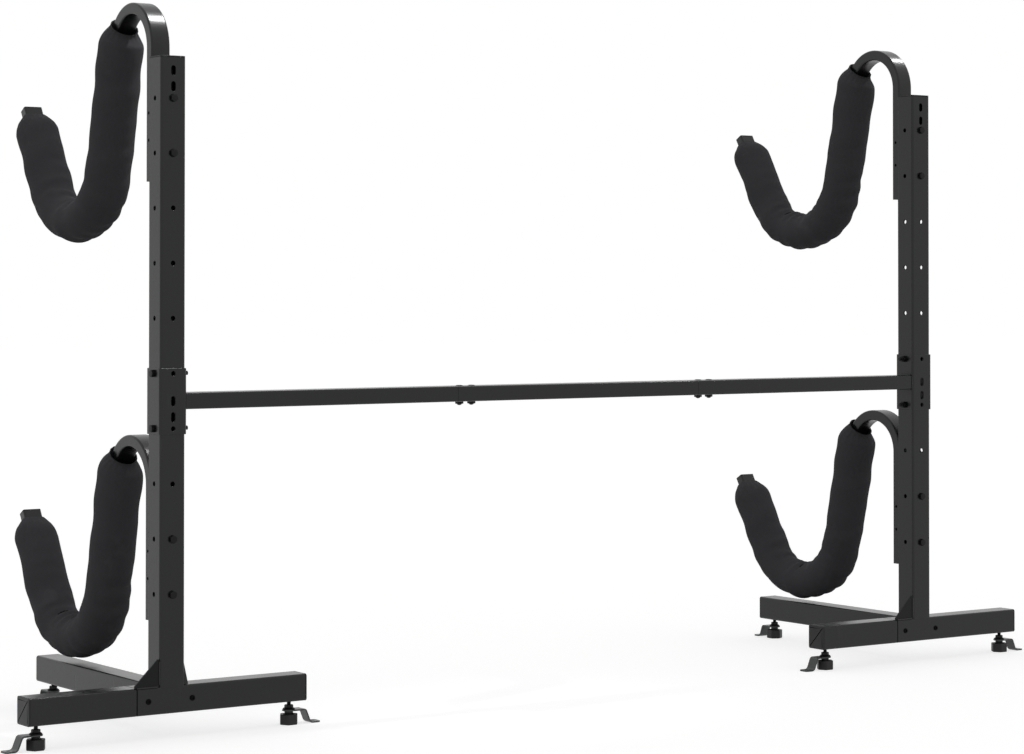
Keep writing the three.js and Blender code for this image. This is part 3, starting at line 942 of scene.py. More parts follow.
@dataclass
class Post:
    """One post: two lengths of tube with rows of holes, and the coupling round their joint."""

    end: str
    finishes: Finishes
    hole: float = BOLT_HOLE
    pitch: float = 0.100
    first_hole: float = FIRST_HOLE
    slot_depths: tuple[float, float] = (0.0275, 0.0565)
    slot_width: float = 0.009
    slot_length: float = 0.018
    upper_holes: int = 6
    lower_holes: int = 4
    weld_depth: float = 0.0036
    punch: Punch = Punch()

    def _tools(self, top: Vector, count: int) -> dict[Axis, list[Model]]:
        """Cutters for one length, by the way they run.

        Args:
            top: Middle of the length's top.
            count: How many holes it has.

        Returns:
            Round cutters both ways, with the slots among those along Y.
        """
        tools: dict[Axis, list[Model]] = {Axis.X: [], Axis.Y: []}
        for index in range(count):
            place = top - Vector((0.0, 0.0, self.first_hole + index * self.pitch))
            for axis, row in tools.items():
                row.append(self.punch.round(place, axis, self.hole))
        tools[Axis.Y] += [
            self.punch.slot(top - Vector((0.0, 0.0, depth)), Axis.Y, self.slot_width,
                            self.slot_length) for depth in self.slot_depths]
        return tools

    def _length(self, part: str, top_height: float, count: int) -> None:
        """One length of tube with its holes.

        Args:
            part: Name of the frame node that it stands for, without the end.
            top_height: Height that its holes are counted down from.
            count: Number of its holes.
        """
        node = f"{self.end}_{part}"
        box = Box.of(node)
        piece = SQUARE.build(f"{node}_tube", Axis.Z, box)
        foot = self.weld_depth if part == "lower_post" else 0.0
        piece.pick_faces(lambda place, normal: normal.z < -FACING and place.z < box.low.z + TINY)
        piece.move((0.0, 0.0, -foot))
        tools = self._tools(box.at(z=top_height), count)
        for axis in (Axis.X, Axis.Y):
            piece.cut(tools[axis])
        piece.soften().fit(self.finishes.coat, Slot.STEEL, "rack", node)

    def build(self) -> None:
        """Model the post and its coupling."""
        lower_top = Box.of(f"{self.end}_lower_post").high.z
        upper_top = Box.of(f"{self.end}_post_plug").high.z
        self._length("lower_post", lower_top, self.lower_holes)
        self._length("upper_post", upper_top, self.upper_holes)
        self._coupling(lower_top)

    def _coupling(self, joint: float) -> None:
        """The square sleeve round the joint, with the holes that its bolts and slots need.

        Args:
            joint: Height of the joint.
        """
        node = f"{self.end}_coupling_sleeve"
        box = Box.of(node)
        tube = Tube(box.size.x, box.size.y, SQUARE.corner + GAP, SQUARE.wall)
        piece = tube.build(f"{node}_tube", Axis.Z, box)
        levels = (joint - self.first_hole, joint - self.first_hole + self.pitch)
        for axis in (Axis.X, Axis.Y):
            tools = [self.punch.round(box.at(z=level), axis, self.hole) for level in levels]
            if axis is Axis.Y:
                tools += [self.punch.slot(box.at(z=joint - depth), axis, self.slot_width,
                                          self.slot_length) for depth in self.slot_depths]
            piece.cut(tools)
        piece.soften().fit(self.finishes.coat, Slot.STEEL, "rack", node)


@dataclass
class Crossbar:
    """Three segments of rectangular tube, bolted together over inner splice tubes."""

    finishes: Finishes
    tube: Tube = Tube(0.050, 0.030, 0.0035, 0.002)
    punch: Punch = Punch()

    @staticmethod
    def joints() -> list[float]:
        """Where along X one segment meets the next."""
        return [Box.of(f"crossbar_{part}").low.x for part in ("middle", "right")]

    def build(self) -> None:
        """Model the segments. The splice tubes are out of sight inside them."""
        joints = self.joints()
        left, right = Box.of("crossbar_left"), Box.of("crossbar_right")
        starts = (left.low.x, *joints)
        stops = (*(joint - GAP for joint in joints), right.high.x)
        for part, start, stop in zip(("left", "middle", "right"), starts, stops):
            node = f"crossbar_{part}"
            low = Vector((start, left.low.y, left.low.z))
            box = Box(low, Vector((stop, left.high.y, left.high.z)))
            piece = self.tube.build(f"{node}_tube", Axis.X, box)
            places = [joint + offset for joint in joints for offset in SPLICE_BOLTS]
            piece.cut([self.punch.round(box.at(x=x), Axis.Z, BOLT_HOLE)
                       for x in places if start < x < stop])
            piece.soften().fit(self.finishes.coat, Slot.STEEL, "rack", node)


# ---- Base ------------------------------------------------------------------------------
@dataclass(frozen=True)
class Cap:
    """A push-in end cap: a rounded rim, a slightly domed face, and a hollow plug."""

    thickness: float = 0.003
    plug_depth: float = 0.009
    dome: float = 0.0006
    edge: float = 0.0007
    wall: float = 0.002
    corner_steps: int = 6
    edge_steps: int = 3
    bands: tuple[float, float] = (0.0016, 0.0040)

    def build(self, name: str, width: float, height: float, corner: float) -> Model:
        """Model a cap that faces up, with the tube's end at z = 0.

        Args:
            name: Name of the piece.
            width: The tube's size along X.
            height: The tube's size along Y.
            corner: The tube's corner radius.

        Returns:
            The cap.
        """
        crown = self.thickness - self.dome
        cap = Model.block(name, (0, 0, (GAP + crown) / 2), (width, height, crown - GAP))
        cap.pick_edges(lambda middle, way: abs(way.z) > FACING).bevel(corner, self.corner_steps)
        cap.pick_edges(lambda middle, way: abs(middle.z - crown) < TINY and abs(way.z) < 0.1)
        cap.bevel(self.edge, self.edge_steps)
        for band in self.bands:
            cap.pick_faces(lambda middle, normal: normal.z > LEVEL)
            cap.inset(band).move((0.0, 0.0, self.dome / len(self.bands)))
        cap.pick_faces(lambda middle, normal: normal.z < -LEVEL).inset(self.wall + GAP)
        cap.extrude((0.0, 0.0, -self.plug_depth))
        cap.inset(self.wall)
        return cap.extrude((0.0, 0.0, self.plug_depth - self.wall)).shade()


@dataclass
class Base:
    """One base: a straight bar, a front leg spliced to it, a back leg and a gusset."""

    end: str
    finishes: Finishes
    joint: float = -0.069
    joint_gap: float = 0.0018
    foot_inset: float = 0.025
    cutter_length: float = 0.02
    nose: float = 0.004
    punch: Punch = Punch()

    def build(self) -> None:
        """Model the base."""
        bar, leg, back, post = (Box.of(f"{self.end}_{part}") for part in (
            "base_bar", "front_leg", "back_leg", "lower_post"))
        x, y, z = post.centre.x, post.centre.y, bar.centre.z
        inset = self.foot_inset - Cap().thickness
        leg_end = Vector((x + self.joint - self.joint_gap, leg.high.y, leg.high.z))
        bolts = [self.punch.round(Vector((x + offset, y, z)), Axis.Y, BOLT_HOLE)
                 for offset in BASE_BOLTS]
        for part, axis, box, foot, tools in (
                ("base_bar", Axis.X, bar, (bar.high.x - inset, y, bar.low.z), bolts),
                ("front_leg", Axis.X, Box(leg.low, leg_end), (leg.low.x + inset, y, bar.low.z), []),
                ("back_leg", Axis.Y, back, (x, back.high.y - inset, bar.low.z), [])):
            node = f"{self.end}_{part}"
            piece = SQUARE.build(f"{node}_tube", axis, box)
            piece.cut(tools)
            piece.cut([Model.rod("punch", foot, BOLT_HOLE / 2, self.cutter_length)])
            piece.soften().fit(self.finishes.coat, Slot.STEEL, "rack", node)
        self._gusset()

    def _gusset(self) -> None:
        """The triangular plate between post and bar."""
        node = f"{self.end}_gusset"
        low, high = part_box(node)
        post, bar = high.x + GAP, low.z - GAP
        plate = Model.slab(f"{node}_plate", [
            (post, low.y, bar), (low.x, low.y, bar), (low.x, low.y, low.z + self.nose),
            (high.x - self.nose, low.y, high.z), (post, low.y, high.z)], high.y - low.y)
        # The plate takes the darker copy of the coat, which paints its shade.
        plate.fit(self.finishes.shade_painted_coat, Slot.STEEL, "rack", node)


@dataclass
class Welds:
    """The weld beads of a base and of the crossbar's ends, and the left post's small rib."""

    end: str
    finishes: Finishes
    radius: float = 0.0021
    ripple: float = 0.0027
    scallop: tuple[tuple[float, float], ...] = ((0.12, 0.82), (0.55, 1.0), (0.90, 0.8692))
    end_radius: float = 0.574
    sides: int = 12
    long: float = 0.042
    short: float = 0.025
    rib_height: float = 0.042
    rib_width: float = 0.009
    rib_thickness: float = 0.004
    rib_sink: float = 0.001
    rib_toe: float = 0.002

    def bead(self, name: str, length: float) -> Model:
        """A rippled bead along Z, centred on the origin.

        Args:
            name: Name of the piece.
            length: Its length.

        Returns:
            The bead.
        """
        half, end = length / 2, self.radius * self.end_radius
        count = round(length / self.ripple)
        rippled = [
            (self.radius * height, -half + (index + share) * length / count)
            for index in range(count) for share, height in self.scallop]
        profile = [(0.0, -half), (end, -half), *rippled, (end, half), (0.0, half)]
        return Model.turned(name, profile, self.sides).shade()

    def _seams(self) -> list[tuple[Axis, Vector, bool]]:
        """List the seams.

        Returns:
            Each seam's direction, its middle, and whether it is a long one.
        """
        post, bar, back, plate, sleeve = (Box.of(f"{self.end}_{part}") for part in (
            "lower_post", "base_bar", "back_leg", "gusset", "coupling_sleeve"))
        tube = Box.of(f"crossbar_{self.end}")
        seams = [(Axis.Y, Vector((post.high.x, post.centre.y, bar.high.z)), True)]
        for x in (back.low.x, back.high.x):
            seams.append((Axis.Z, Vector((x, bar.high.y, bar.centre.z)), True))
        for y in (plate.low.y, plate.high.y):
            seams.append((Axis.X, plate.at(y=y, z=plate.low.z), True))
            seams.append((Axis.Z, plate.at(x=plate.high.x, y=y), True))
        face = sleeve.high.x if self.end == "left" else sleeve.low.x
        seams += [(Axis.Y, tube.at(x=face, z=z), True) for z in (tube.low.z, tube.high.z)]
        seams += [(Axis.Z, tube.at(x=face, y=y), False) for y in (tube.low.y, tube.high.y)]
        return seams

    def build(self) -> None:
        """Model a long and a short bead and copy them to the seams."""
        beads = {True: self.bead("long_bead", self.long), False: self.bead("short_bead", self.short)}
        for number, (axis, middle, is_long) in enumerate(self._seams(), 1):
            place = Matrix.Translation(middle) @ axis.matrix
            beads[is_long].copy(f"{self.end}_weld_bead_{number}", place).fit(
                self.finishes.coat, Slot.STEEL, "rack")
        beads[True].discard(beads[False])
        if self.end == "left":
            self._rib()

    def _rib(self) -> None:
        """The small upright rib at the left post's foot, on its crossbar side."""
        post = Box.of(f"{self.end}_lower_post")
        x, front, foot = post.high.x, post.low.y + self.rib_thickness, post.low.z
        rib = Model.slab("post_foot_rib", [
            (x - self.rib_sink, front, foot), (x + self.rib_width, front, foot),
            (x + self.rib_width, front, foot + self.rib_toe), (x, front, foot + self.rib_height),
            (x - self.rib_sink, front, foot + self.rib_height)], self.rib_thickness)
        rib.fit(self.finishes.coat, Slot.STEEL, "rack")


# ---- Cradles -------------------------------------------------------------------------------
@dataclass(frozen=True)
class Station:
    """A place on the bent tube: where it is in the YZ plane and the way it heads."""

    y: float
    z: float
    heading: float

    @property
    def across(self) -> Vector:
        """Square to the path, to its left."""
        return Vector((0.0, -math.sin(self.heading), math.cos(self.heading)))

    @property
    def along(self) -> Vector:
        """The way that the path goes."""
        return Vector((0.0, math.cos(self.heading), math.sin(self.heading)))

    def at(self, x: float) -> Vector:
        """The station as a point."""
        return Vector((x, self.y, self.z))


@dataclass(frozen=True)
class Run:
    """A straight run of the path, or a bend, whose turn isn't 0."""

    start: Station
    length: float
    turn: float

    @property
    def radius(self) -> float:
        """Signed radius of a bend."""
        return self.length / self.turn

    @property
    def centre(self) -> Vector:
        """Centre of a bend, at X = 0."""
        return self.start.at(0.0) + self.start.across * self.radius

    def station(self, distance: float) -> Station:
        """The place a distance along the run."""
        if self.turn == 0:
            point = self.start.at(0.0) + self.start.along * distance
            return Station(point.y, point.z, self.start.heading)
        heading = self.start.heading + self.turn * distance / self.length
        return Station(
            self.start.y + self.radius * (math.sin(heading) - math.sin(self.start.heading)),
            self.start.z - self.radius * (math.cos(heading) - math.cos(self.start.heading)),
            heading)


@dataclass
class CradlePath:
    """The middle line of a cradle's bent tube, from the foot of its shank to its tip."""

    post_y: float
    post_top: float
    shank_y: float = 0.0363
    shank_drop: float = 0.228
    arch_rise: float = 0.017
    arch_radius: float = 0.078
    arch_turn: float = math.radians(-167.1)
    reach: float = 0.222
    cup_radius: float = 0.140
    cup_turn: float = math.radians(135.9)
    tip: float = 0.180
    width: float = 0.038
    depth: float = 0.022
    squareness: float = 8.0
    runs: list[Run] = field(default_factory=list)

    def __post_init__(self) -> None:
        """Lay the runs end to end."""
        here = Station(self.post_y + self.shank_y, self.post_top - self.shank_drop, QUARTER)
        for length, turn in (
                (self.shank_drop + self.arch_rise, 0.0),
                (abs(self.arch_turn) * self.arch_radius, self.arch_turn),
                (self.reach, 0.0),
                (self.cup_turn * self.cup_radius, self.cup_turn),
                (self.tip, 0.0)):
            run = Run(here, length, turn)
            self.runs.append(run)
            here = run.station(length)

    @property
    def length(self) -> float:
        """Whole length of the tube."""
        return sum(run.length for run in self.runs)

    def snug(self, angles: np.ndarray) -> np.ndarray:
        """Distance from the path to the tube's skin, at angles round it.

        Args:
            angles: Angles, where 0 is across the tube's width.

        Returns:
            The distances.
        """
        wide = (np.abs(np.cos(angles)) / (self.width / 2)) ** self.squareness
        deep = (np.abs(np.sin(angles)) / (self.depth / 2)) ** self.squareness
        return (wide + deep) ** (-1.0 / self.squareness)

    def station(self, distance: float) -> Station:
        """The place a distance from the foot of the shank."""
        for run in self.runs[:-1]:
            if distance <= run.length:
                return run.station(distance)
            distance -= run.length
        return self.runs[-1].station(distance)


@dataclass(frozen=True)
class PadSize:
    """Sizes of the padded sleeve, and how its cloth is tailored.

    A mark is a distance from the sleeve's mouth, the end that is on the arch.
    """

    on_arch: float = 0.036          # how far the mouth goes up the arch
    bare_end: float = 0.015         # what the sleeve leaves of the tip
    radius: float = 0.0424
    oval: float = 0.095             # how much wider than deep the cup is
    squeeze: float = 0.0022         # what the cup's bend takes off the radius
    tip_slim: float = 0.0014
    lean: float = 0.0024            # how far the sleeve hangs off the tube, near a mark
    lean_mark: float = 0.17
    lean_reach: float = 0.11
    sag: float = 0.0005
    bulge: float = 0.0072           # the outer side of the cup, near a mark
    bulge_mark: float = 0.345
    bulge_reach: float = 0.055
    collar: float = 0.0266
    collar_length: float = 0.007
    lip: float = 0.0009
    shoulder: float = 0.033
    hem_length: float = 0.040
    hem_slack: float = 0.0024
    mouth_tuck: float = 0.024
    mouth_fold: float = 0.0028
    hem_tuck: float = 0.008
    hem_fold: float = 0.0006
    pleats: int = 17
    pleat_height: float = 0.0010
    pleat_start: float = 0.006
    pleat_fade: float = 0.020
    pleat_rise: float = 0.012
    cup_middle: float = 0.54        # share of the length
    cup_reach: float = 0.17
    creases: int = 5
    crease_waves: tuple[float, float] = (0.022, 0.046)
    crease_slant: float = 0.012
    inner_crease: float = 0.0011
    outer_crease: float = 0.0008
    swells: int = 4
    swell_waves: tuple[float, float] = (0.060, 0.120)
    swell_height: float = 0.0006
    plain_end: float = 0.012
    seam_rise: float = 0.0011
    seam_dip: float = 0.0004
    most_move: float = 0.0040       # cap on what the simulation moves
    cloth: float = 0.0013
    sides: int = 64
    step: float = 0.0048


CLOTH = {
    "quality": 6, "mass": 0.25, "tension_stiffness": 12, "compression_stiffness": 6,
    "shear_stiffness": 4, "bending_stiffness": 0.4, "use_pressure": True,
    "uniform_pressure_force": 4.0, "shrink_min": -0.012, "pin_stiffness": 0.8}
CLOTH_FRAMES = 20
HOLD_FROM, HOLD_FADE, LEAST_HOLD = 0.007, 0.02, 0.04    # how the sleeve's ends are pinned


class Sleeve:
    """The cloth of one padded sleeve: tailored, then filled by simulation."""

    TUCKED = 4

    def __init__(self, size: PadSize, path: CradlePath, seed: int) -> None:
        """Lay out the sleeve on a path.

        Args:
            size: Its sizes.
            path: The bent tube that it goes round.
            seed: Number that its folds are drawn from.
        """
        self.size = size
        self.path = path
        self.draw = np.random.default_rng(seed)
        reach_from = path.runs[0].length + path.runs[1].length
        self.start = reach_from - size.on_arch
        self.length = path.length - size.bare_end - self.start

    def cup_share(self, mark: float) -> float:
        """How much of the cup's form a place has, from 0 at the sleeve's ends to 1."""
        return math.sin(math.pi * min(max(mark / self.length, 0.0), 1.0)) ** 4

    def outline(self, mark: float, angles: np.ndarray) -> np.ndarray:
        """Distance of the filled sleeve from the path, all round a place.

        Args:
            mark: Distance of the place from the sleeve's mouth.
            angles: Angles round the path, where a quarter turn is the inside of the bend.

        Returns:
            The distances.
        """
        size = self.size
        near_tip = min(max(mark / self.length - 0.6, 0.0) / 0.3, 1.0)
        full = size.radius - size.squeeze * self.cup_share(mark) - size.tip_slim * near_tip
        flattened = np.where(np.sin(angles) < 0, np.cos(2 * angles), np.clip(np.cos(2 * angles), 0, 1))
        full = full * (1 + size.oval * self.cup_share(mark) * flattened)
        swollen = size.bulge * math.exp(-(((mark - size.bulge_mark) / size.bulge_reach) ** 2))
        full = full + swollen * np.clip(-np.sin(angles), 0, None)
        risen = (mark - size.collar_length) / size.shoulder
        if risen < 0:
            lip = size.lip * math.cos(math.pi * mark / size.collar_length)
            return np.full_like(angles, size.collar + lip)
        if risen < 1:
            neck = size.collar - size.lip
            return neck + (full - neck) * math.sin(QUARTER * risen)
        left = max(self.length - mark, 0.0) / size.hem_length
        if left < 1:
            hem = self.path.snug(angles) + size.hem_slack
            return hem + (full - hem) * math.sin(QUARTER * left)
        return full

    def rings(self, angles: np.ndarray) -> list[tuple[float, np.ndarray]]:
        """The tailored rings, from inside one mouth, over the pad, into the other.

        Args:
            angles: Angles round the path.

        Returns:
            Pairs of distance from the mouth and distances from the path.
        """
        size = self.size
        count = round(self.length / size.step)
        marks = [index * self.length / count for index in range(count + 1)]
        over = [(mark, self.outline(mark, angles)) for mark in marks]
        mouth, hem = over[0][1] - size.mouth_fold, self.path.snug(angles) + size.hem_fold
        first = [(share * size.mouth_tuck, mouth) for share in (1.0, 0.62, 0.30, 0.08)]
        last = [(self.length - share * size.hem_tuck, hem) for share in (0.15, 0.5, 0.8, 1.0)]
        return first + over + last

    def folds(self, marks: np.ndarray, angles: np.ndarray) -> np.ndarray:
        """How far the tailored cloth stands off its plain form.

        Args:
            marks: Distances from the mouth.
            angles: Angles round the path, where a quarter turn is the inside of the bend.

        Returns:
            Offsets in metres, one row for each mark.
        """
        s, a = np.meshgrid(marks, angles, indexing="ij")
        seam = np.zeros_like(s)
        seam[:, 0] = self.size.seam_rise
        seam[:, (1, -1)] = -self.size.seam_dip
        return self._gathers(s, a) + seam + self._creases(s, a)

    def _gathers(self, s: np.ndarray, a: np.ndarray) -> np.ndarray:
        """Pleats where the cloth is drawn in at both ends.

        Args:
            s: Distances from the mouth.
            a: Angles.

        Returns:
            Offsets.
        """
        size, draw = self.size, self.draw
        gathers = np.zeros_like(s)
        for from_end in (s, self.length - s):
            phase = draw.uniform(0, math.tau)
            uneven = 0.75 + 0.5 * np.sin(3 * a + draw.uniform(0, math.tau)) ** 2
            pleat = np.sin(size.pleats * a + phase + 1.3 * np.sin(2 * a + phase))
            fade = np.exp(-np.clip(from_end - size.pleat_start, 0, None) / size.pleat_fade)
            rise = np.clip(from_end / size.pleat_rise, 0.25, 1)
            gathers += size.pleat_height * pleat * uneven * fade * rise
        return gathers

    def _creases(self, s: np.ndarray, a: np.ndarray) -> np.ndarray:
        """Creases across the cup, and broad swells all along.

        Args:
            s: Distances from the mouth.
            a: Angles.

        Returns:
            Offsets.
        """
        size, draw = self.size, self.draw
        cup = np.exp(-(((s - size.cup_middle * self.length) / size.cup_reach) ** 2))
        inner = size.inner_crease * np.clip(np.sin(a), 0, None) ** 2
        outer = size.outer_crease * np.clip(-np.sin(a), 0, None)
        folds, swells = np.zeros_like(s), np.zeros_like(s)
        for _ in range(size.creases):
            wave = draw.uniform(*size.crease_waves)
            slant = draw.uniform(-size.crease_slant, size.crease_slant)
            phase = draw.uniform(0, math.tau)
            folds += np.sin(math.tau * (s + slant * np.cos(a)) / wave + phase)
        for _ in range(size.swells):
            wave = draw.uniform(*size.swell_waves)
            lobes = draw.integers(1, 4)
            phase = draw.uniform(0, math.tau)
            swells += np.sin(math.tau * s / wave + lobes * a + phase)
        inside = (s > size.plain_end) & (s < self.length - size.plain_end)
        return np.where(inside, cup * (inner + outer) * folds + size.swell_height * swells, 0.0)

    def surface(self) -> tuple[np.ndarray, np.ndarray]:
        """Points of the tailored cloth and its distances along each ring.

        Returns:
            An array of rings by sides by three, and the ring's distances along the cloth.
        """
        size = self.size
        angles = np.arange(size.sides) * math.tau / size.sides
        rings = self.rings(angles)
        marks = np.array([mark for mark, _ in rings])
        offsets = self.folds(marks, angles)
        for tucked in (slice(0, self.TUCKED), slice(-self.TUCKED, None)):
            offsets[tucked] = np.clip(offsets[tucked], -0.0003, 0.0003)
        points = np.zeros((len(rings), size.sides, 3))
        for index, (mark, radius) in enumerate(rings):
            station = self.path.station(self.start + mark)
            across = np.array(station.across)
            leaning = math.exp(-(((mark - size.lean_mark) / size.lean_reach) ** 2))
            sag = size.sag * self.cup_share(mark) + size.lean * leaning
            reach = radius + offsets[index]
            points[index] = np.array(station.at(0.0)) - across * sag
            points[index, :, 0] += reach * np.cos(angles)
            points[index] += np.outer(reach * np.sin(angles), across)
        steps = np.linalg.norm(np.diff(points, axis=0), axis=2).mean(axis=1)
        return points, np.concatenate([[0.0], np.cumsum(steps)])

    def mesh(self, name: str) -> Model:
        """The tailored cloth as an open tube, with its cut as a UV map in metres.

        Args:
            name: Name of the piece.

        Returns:
            The cloth.
        """
        points, along = self.surface()
        sides = points.shape[1]
        piece = Model.lofted(name, points, False)
        girth = math.tau * self.size.radius / sides
        layer = piece.obj.data.uv_layers.new(name="cut")
        for polygon in piece.obj.data.polygons:
            row, side = divmod(polygon.index, sides)
            corners = ((row, side), (row + 1, side), (row + 1, side + 1), (row, side + 1))
            for loop, (ring, turn) in zip(polygon.loop_indices, corners):
                layer.data[loop].uv = (turn * girth, along[ring])
        return piece

    def fill(self, piece: Model) -> None:
        """Swell the cloth over its foam by simulation, with its mouths held.

        Args:
            piece: The tailored cloth, which is changed in place.
        """
        size = self.size
        obj = piece.obj
        rings = self.rings(np.zeros(1))
        before = np.array([vertex.co for vertex in obj.data.vertices])
        held = obj.vertex_groups.new(name="held")
        for row, (mark, _) in enumerate(rings):
            from_end = min(mark, self.length - mark)
            tucked = row < self.TUCKED or row >= len(rings) - self.TUCKED
            weight = 1.0 if tucked else float(
                np.clip(1.0 - (from_end - HOLD_FROM) / HOLD_FADE, LEAST_HOLD, 1.0))
            first = row * size.sides
            held.add(list(range(first, first + size.sides)), weight, "REPLACE")
        cloth = obj.modifiers.new("Cloth", "CLOTH")
        for key, value in {**CLOTH, "vertex_group_mass": held.name}.items():
            setattr(cloth.settings, key, value)
        cloth.settings.effector_weights.gravity = 0.0
        cloth.point_cache.frame_start = 1
        cloth.point_cache.frame_end = CLOTH_FRAMES
        scene = bpy.context.scene
        for number in range(1, CLOTH_FRAMES + 1):
            scene.frame_set(number)
        piece._activate()
        bpy.ops.object.modifier_apply(modifier=cloth.name)
        scene.frame_set(1)
        after = np.array([vertex.co for vertex in obj.data.vertices])
        moved = after - before
        length = np.linalg.norm(moved, axis=1, keepdims=True)
        share = size.most_move * np.tanh(length / size.most_move) / np.maximum(length, TINY)
        obj.data.vertices.foreach_set("co", (before + moved * share).ravel())
        obj.vertex_groups.clear()

    def build(self, name: str) -> Model:
        """Tailor, fill and finish one sleeve.

        Args:
            name: Name of the piece.

        Returns:
            The sleeve round a path at X = 0.
        """
        piece = self.mesh(name)
        self.fill(piece)
        piece.modify("SOLIDIFY", thickness=self.size.cloth, offset=-1.0, use_rim=True)
        piece.modify("SUBSURF", levels=1, render_levels=1)
        piece._activate()
        bpy.ops.object.shade_smooth()
        return piece


@dataclass
class Cradle:
    """A cradle's bent tube with the holes for the two bolts that hold it, its foam, sleeve and tip cap.
    """

    finishes: Finishes
    width: float = CradlePath.width
    depth: float = CradlePath.depth
    corner: float = 0.0035
    wall: float = 0.002
    bend_steps: int = 40
    bolt_depths: tuple[float, float] = (FIRST_HOLE, 0.1775)
    side_hole_depths: tuple[float, float] = (0.1025, 0.1525)
    side_hole: float = 0.006
    foam_sides: int = 32
    foam_rings: int = 40
    foam_ends: tuple[float, float] = (0.030, 0.020)
    foam_play: float = 0.0050
    bore_play: float = 0.0006
    punch: Punch = Punch(reach=0.03)

    def arm(self, name: str, path: CradlePath) -> Model:
        """Bend the tube: a flat section, extruded along the runs and spun round the bends.

        Args:
            name: Name of the piece.
            path: Its middle line.

        Returns:
            The arm, at X = 0.
        """
        piece = Model.plate(name, path.runs[0].start.at(0.0), (self.width, self.depth))
        piece.pick_all(Pick.VERTICES).bevel(self.corner, 5, corners=True)
        piece.pick_all().work(bpy.ops.mesh.delete, type="ONLY_FACE")
        piece.pick_all(Pick.EDGES)
        for run in path.runs:
            if run.turn == 0:
                piece.extrude(run.start.along * run.length)
            else:
                steps = round(self.bend_steps * abs(run.turn) / math.pi)
                piece.spin(run.turn, run.centre, Axis.X, steps)
        piece.pick_all().work(bpy.ops.mesh.remove_doubles, threshold=TINY)
        piece.fill_rims().tidy().pick_caps().work(bpy.ops.mesh.delete, type="ONLY_FACE")
        piece.modify("SOLIDIFY", thickness=self.wall, offset=-1.0, use_rim=True,
                     use_even_offset=True)
        shank = Vector((0.0, path.post_y + path.shank_y, path.post_top))
        piece.cut([self.punch.round(shank - Vector((0, 0, depth)), Axis.Y, BOLT_HOLE)
                   for depth in self.bolt_depths])
        piece.cut([
            Model.rod("punch", shank - Vector((self.width / 2, 0, depth)),
                      self.side_hole / 2, self.width / 2, Axis.X)
            for depth in self.side_hole_depths])
        return piece.soften(0.0003)

    def foam(self, name: str, sleeve: Sleeve) -> Model:
        """The foam tube in a sleeve: a ring of foam round the arm, closed at both ends.

        Args:
            name: Name of the piece.
            sleeve: The sleeve that it fills.

        Returns:
            The foam, at X = 0.
        """
        count = self.foam_rings
        first, last = self.foam_ends[0], sleeve.length - self.foam_ends[1]
        marks = [first + (last - first) * index / count for index in range(count + 1)]
        angles = [math.tau * index / self.foam_sides for index in range(self.foam_sides)]
        skins = [(mark, sleeve.outline(mark, np.array(angles)) - self.foam_play) for mark in marks]
        bore = [self._bore(angle) for angle in angles]
        rings = []
        for mark, reaches in skins + [(mark, bore) for mark in reversed(marks)]:
            station = sleeve.path.station(sleeve.start + mark)
            rings.append([
                station.at(float(reach) * math.cos(angle))
                + station.across * (float(reach) * math.sin(angle))
                for reach, angle in zip(reaches, angles)])
        return Model.lofted(name, np.array(rings), True).tidy().shade()

    def _bore(self, angle: float) -> float:
        """Distance from the middle of the tube to just outside its wall, at an angle."""
        across = abs(math.cos(angle)) / (self.width / 2 + self.bore_play)
        deep = abs(math.sin(angle)) / (self.depth / 2 + self.bore_play)
        return 1.0 / max(across, deep)

    def build(self) -> None:
        """Model the four cradles: one arm, and a sleeve of each of two tailorings."""
        plug = Box.of("left_post_plug")
        path = CradlePath(plug.centre.y, plug.high.z)
        arm = self.arm("arm", path)
        cap = Cap().build("tip_cap", self.width, self.depth, self.corner)
        tip = path.runs[-1].station(path.runs[-1].length)
        basis = Matrix((Vector((-1, 0, 0)), tip.across, tip.along)).transposed().to_4x4()
        cap.obj.data.transform(Matrix.Translation(tip.at(0.0)) @ basis)
        sleeves = [Sleeve(PadSize(), path, seed) for seed in (7, 23)]
        tailored = [one.build(f"sleeve_{index}") for index, one in enumerate(sleeves)]
        foam = self.foam("foam", sleeves[0])
        drop = Box.of("left_upper_tip_plug").low.z - Box.of("left_lower_tip_plug").low.z
        finishes = self.finishes
        for end_index, end in enumerate(ENDS):
            x = Box.of(f"{end}_post_plug").centre.x
            for tier_index, tier in enumerate(TIERS):
                name = f"{end}_{tier}"
                place = Matrix.Translation((x, 0.0, -drop * tier_index))
                arm.copy(f"{name}_arm", place).fit(
                    finishes.coat, Slot.STEEL, "rack", f"{name}_cradle_arm")
                cap.copy(f"{name}_tip_cap", place).fit(
                    finishes.moulded, Slot.PLASTIC, "rack", f"{name}_tip_plug")
                foam.copy(f"{name}_foam", place).fit(finishes.foam, Slot.FABRIC, "rack")
                cover = tailored[(end_index + tier_index) % 2].copy(f"{name}_sleeve", place)
                cover.fit(finishes.nylon, Slot.FABRIC, "rack", f"{name}_pad_sleeve")
        arm.discard(cap, foam, *tailored)


# ---- Fasteners -----------------------------------------------------------------------------
class Head(Enum):
    """How a bolt's head is made."""

    HEXAGON = "hexagon"
    BUTTON = "button"


class Nut(Enum):
    """How a nut is made."""

    PLAIN = "plain"
    DOMED = "domed"


# A button head's profile in shares of its radius and height, and a dome's on a nut, in shares of
# its radius and in metres above the nut.
BUTTON = ((0.0, 1.0), (0.45, 1.0), (0.72, 0.88), (0.90, 0.62), (1.0, 0.28), (1.0, 0.0), (0.0, 0.0))
ACORN = ((0.0, -0.0008), (1.0, -0.0008), (0.96, 0.0006), (0.80, 0.0016), (0.45, 0.0024), (0.0, 0.0027))


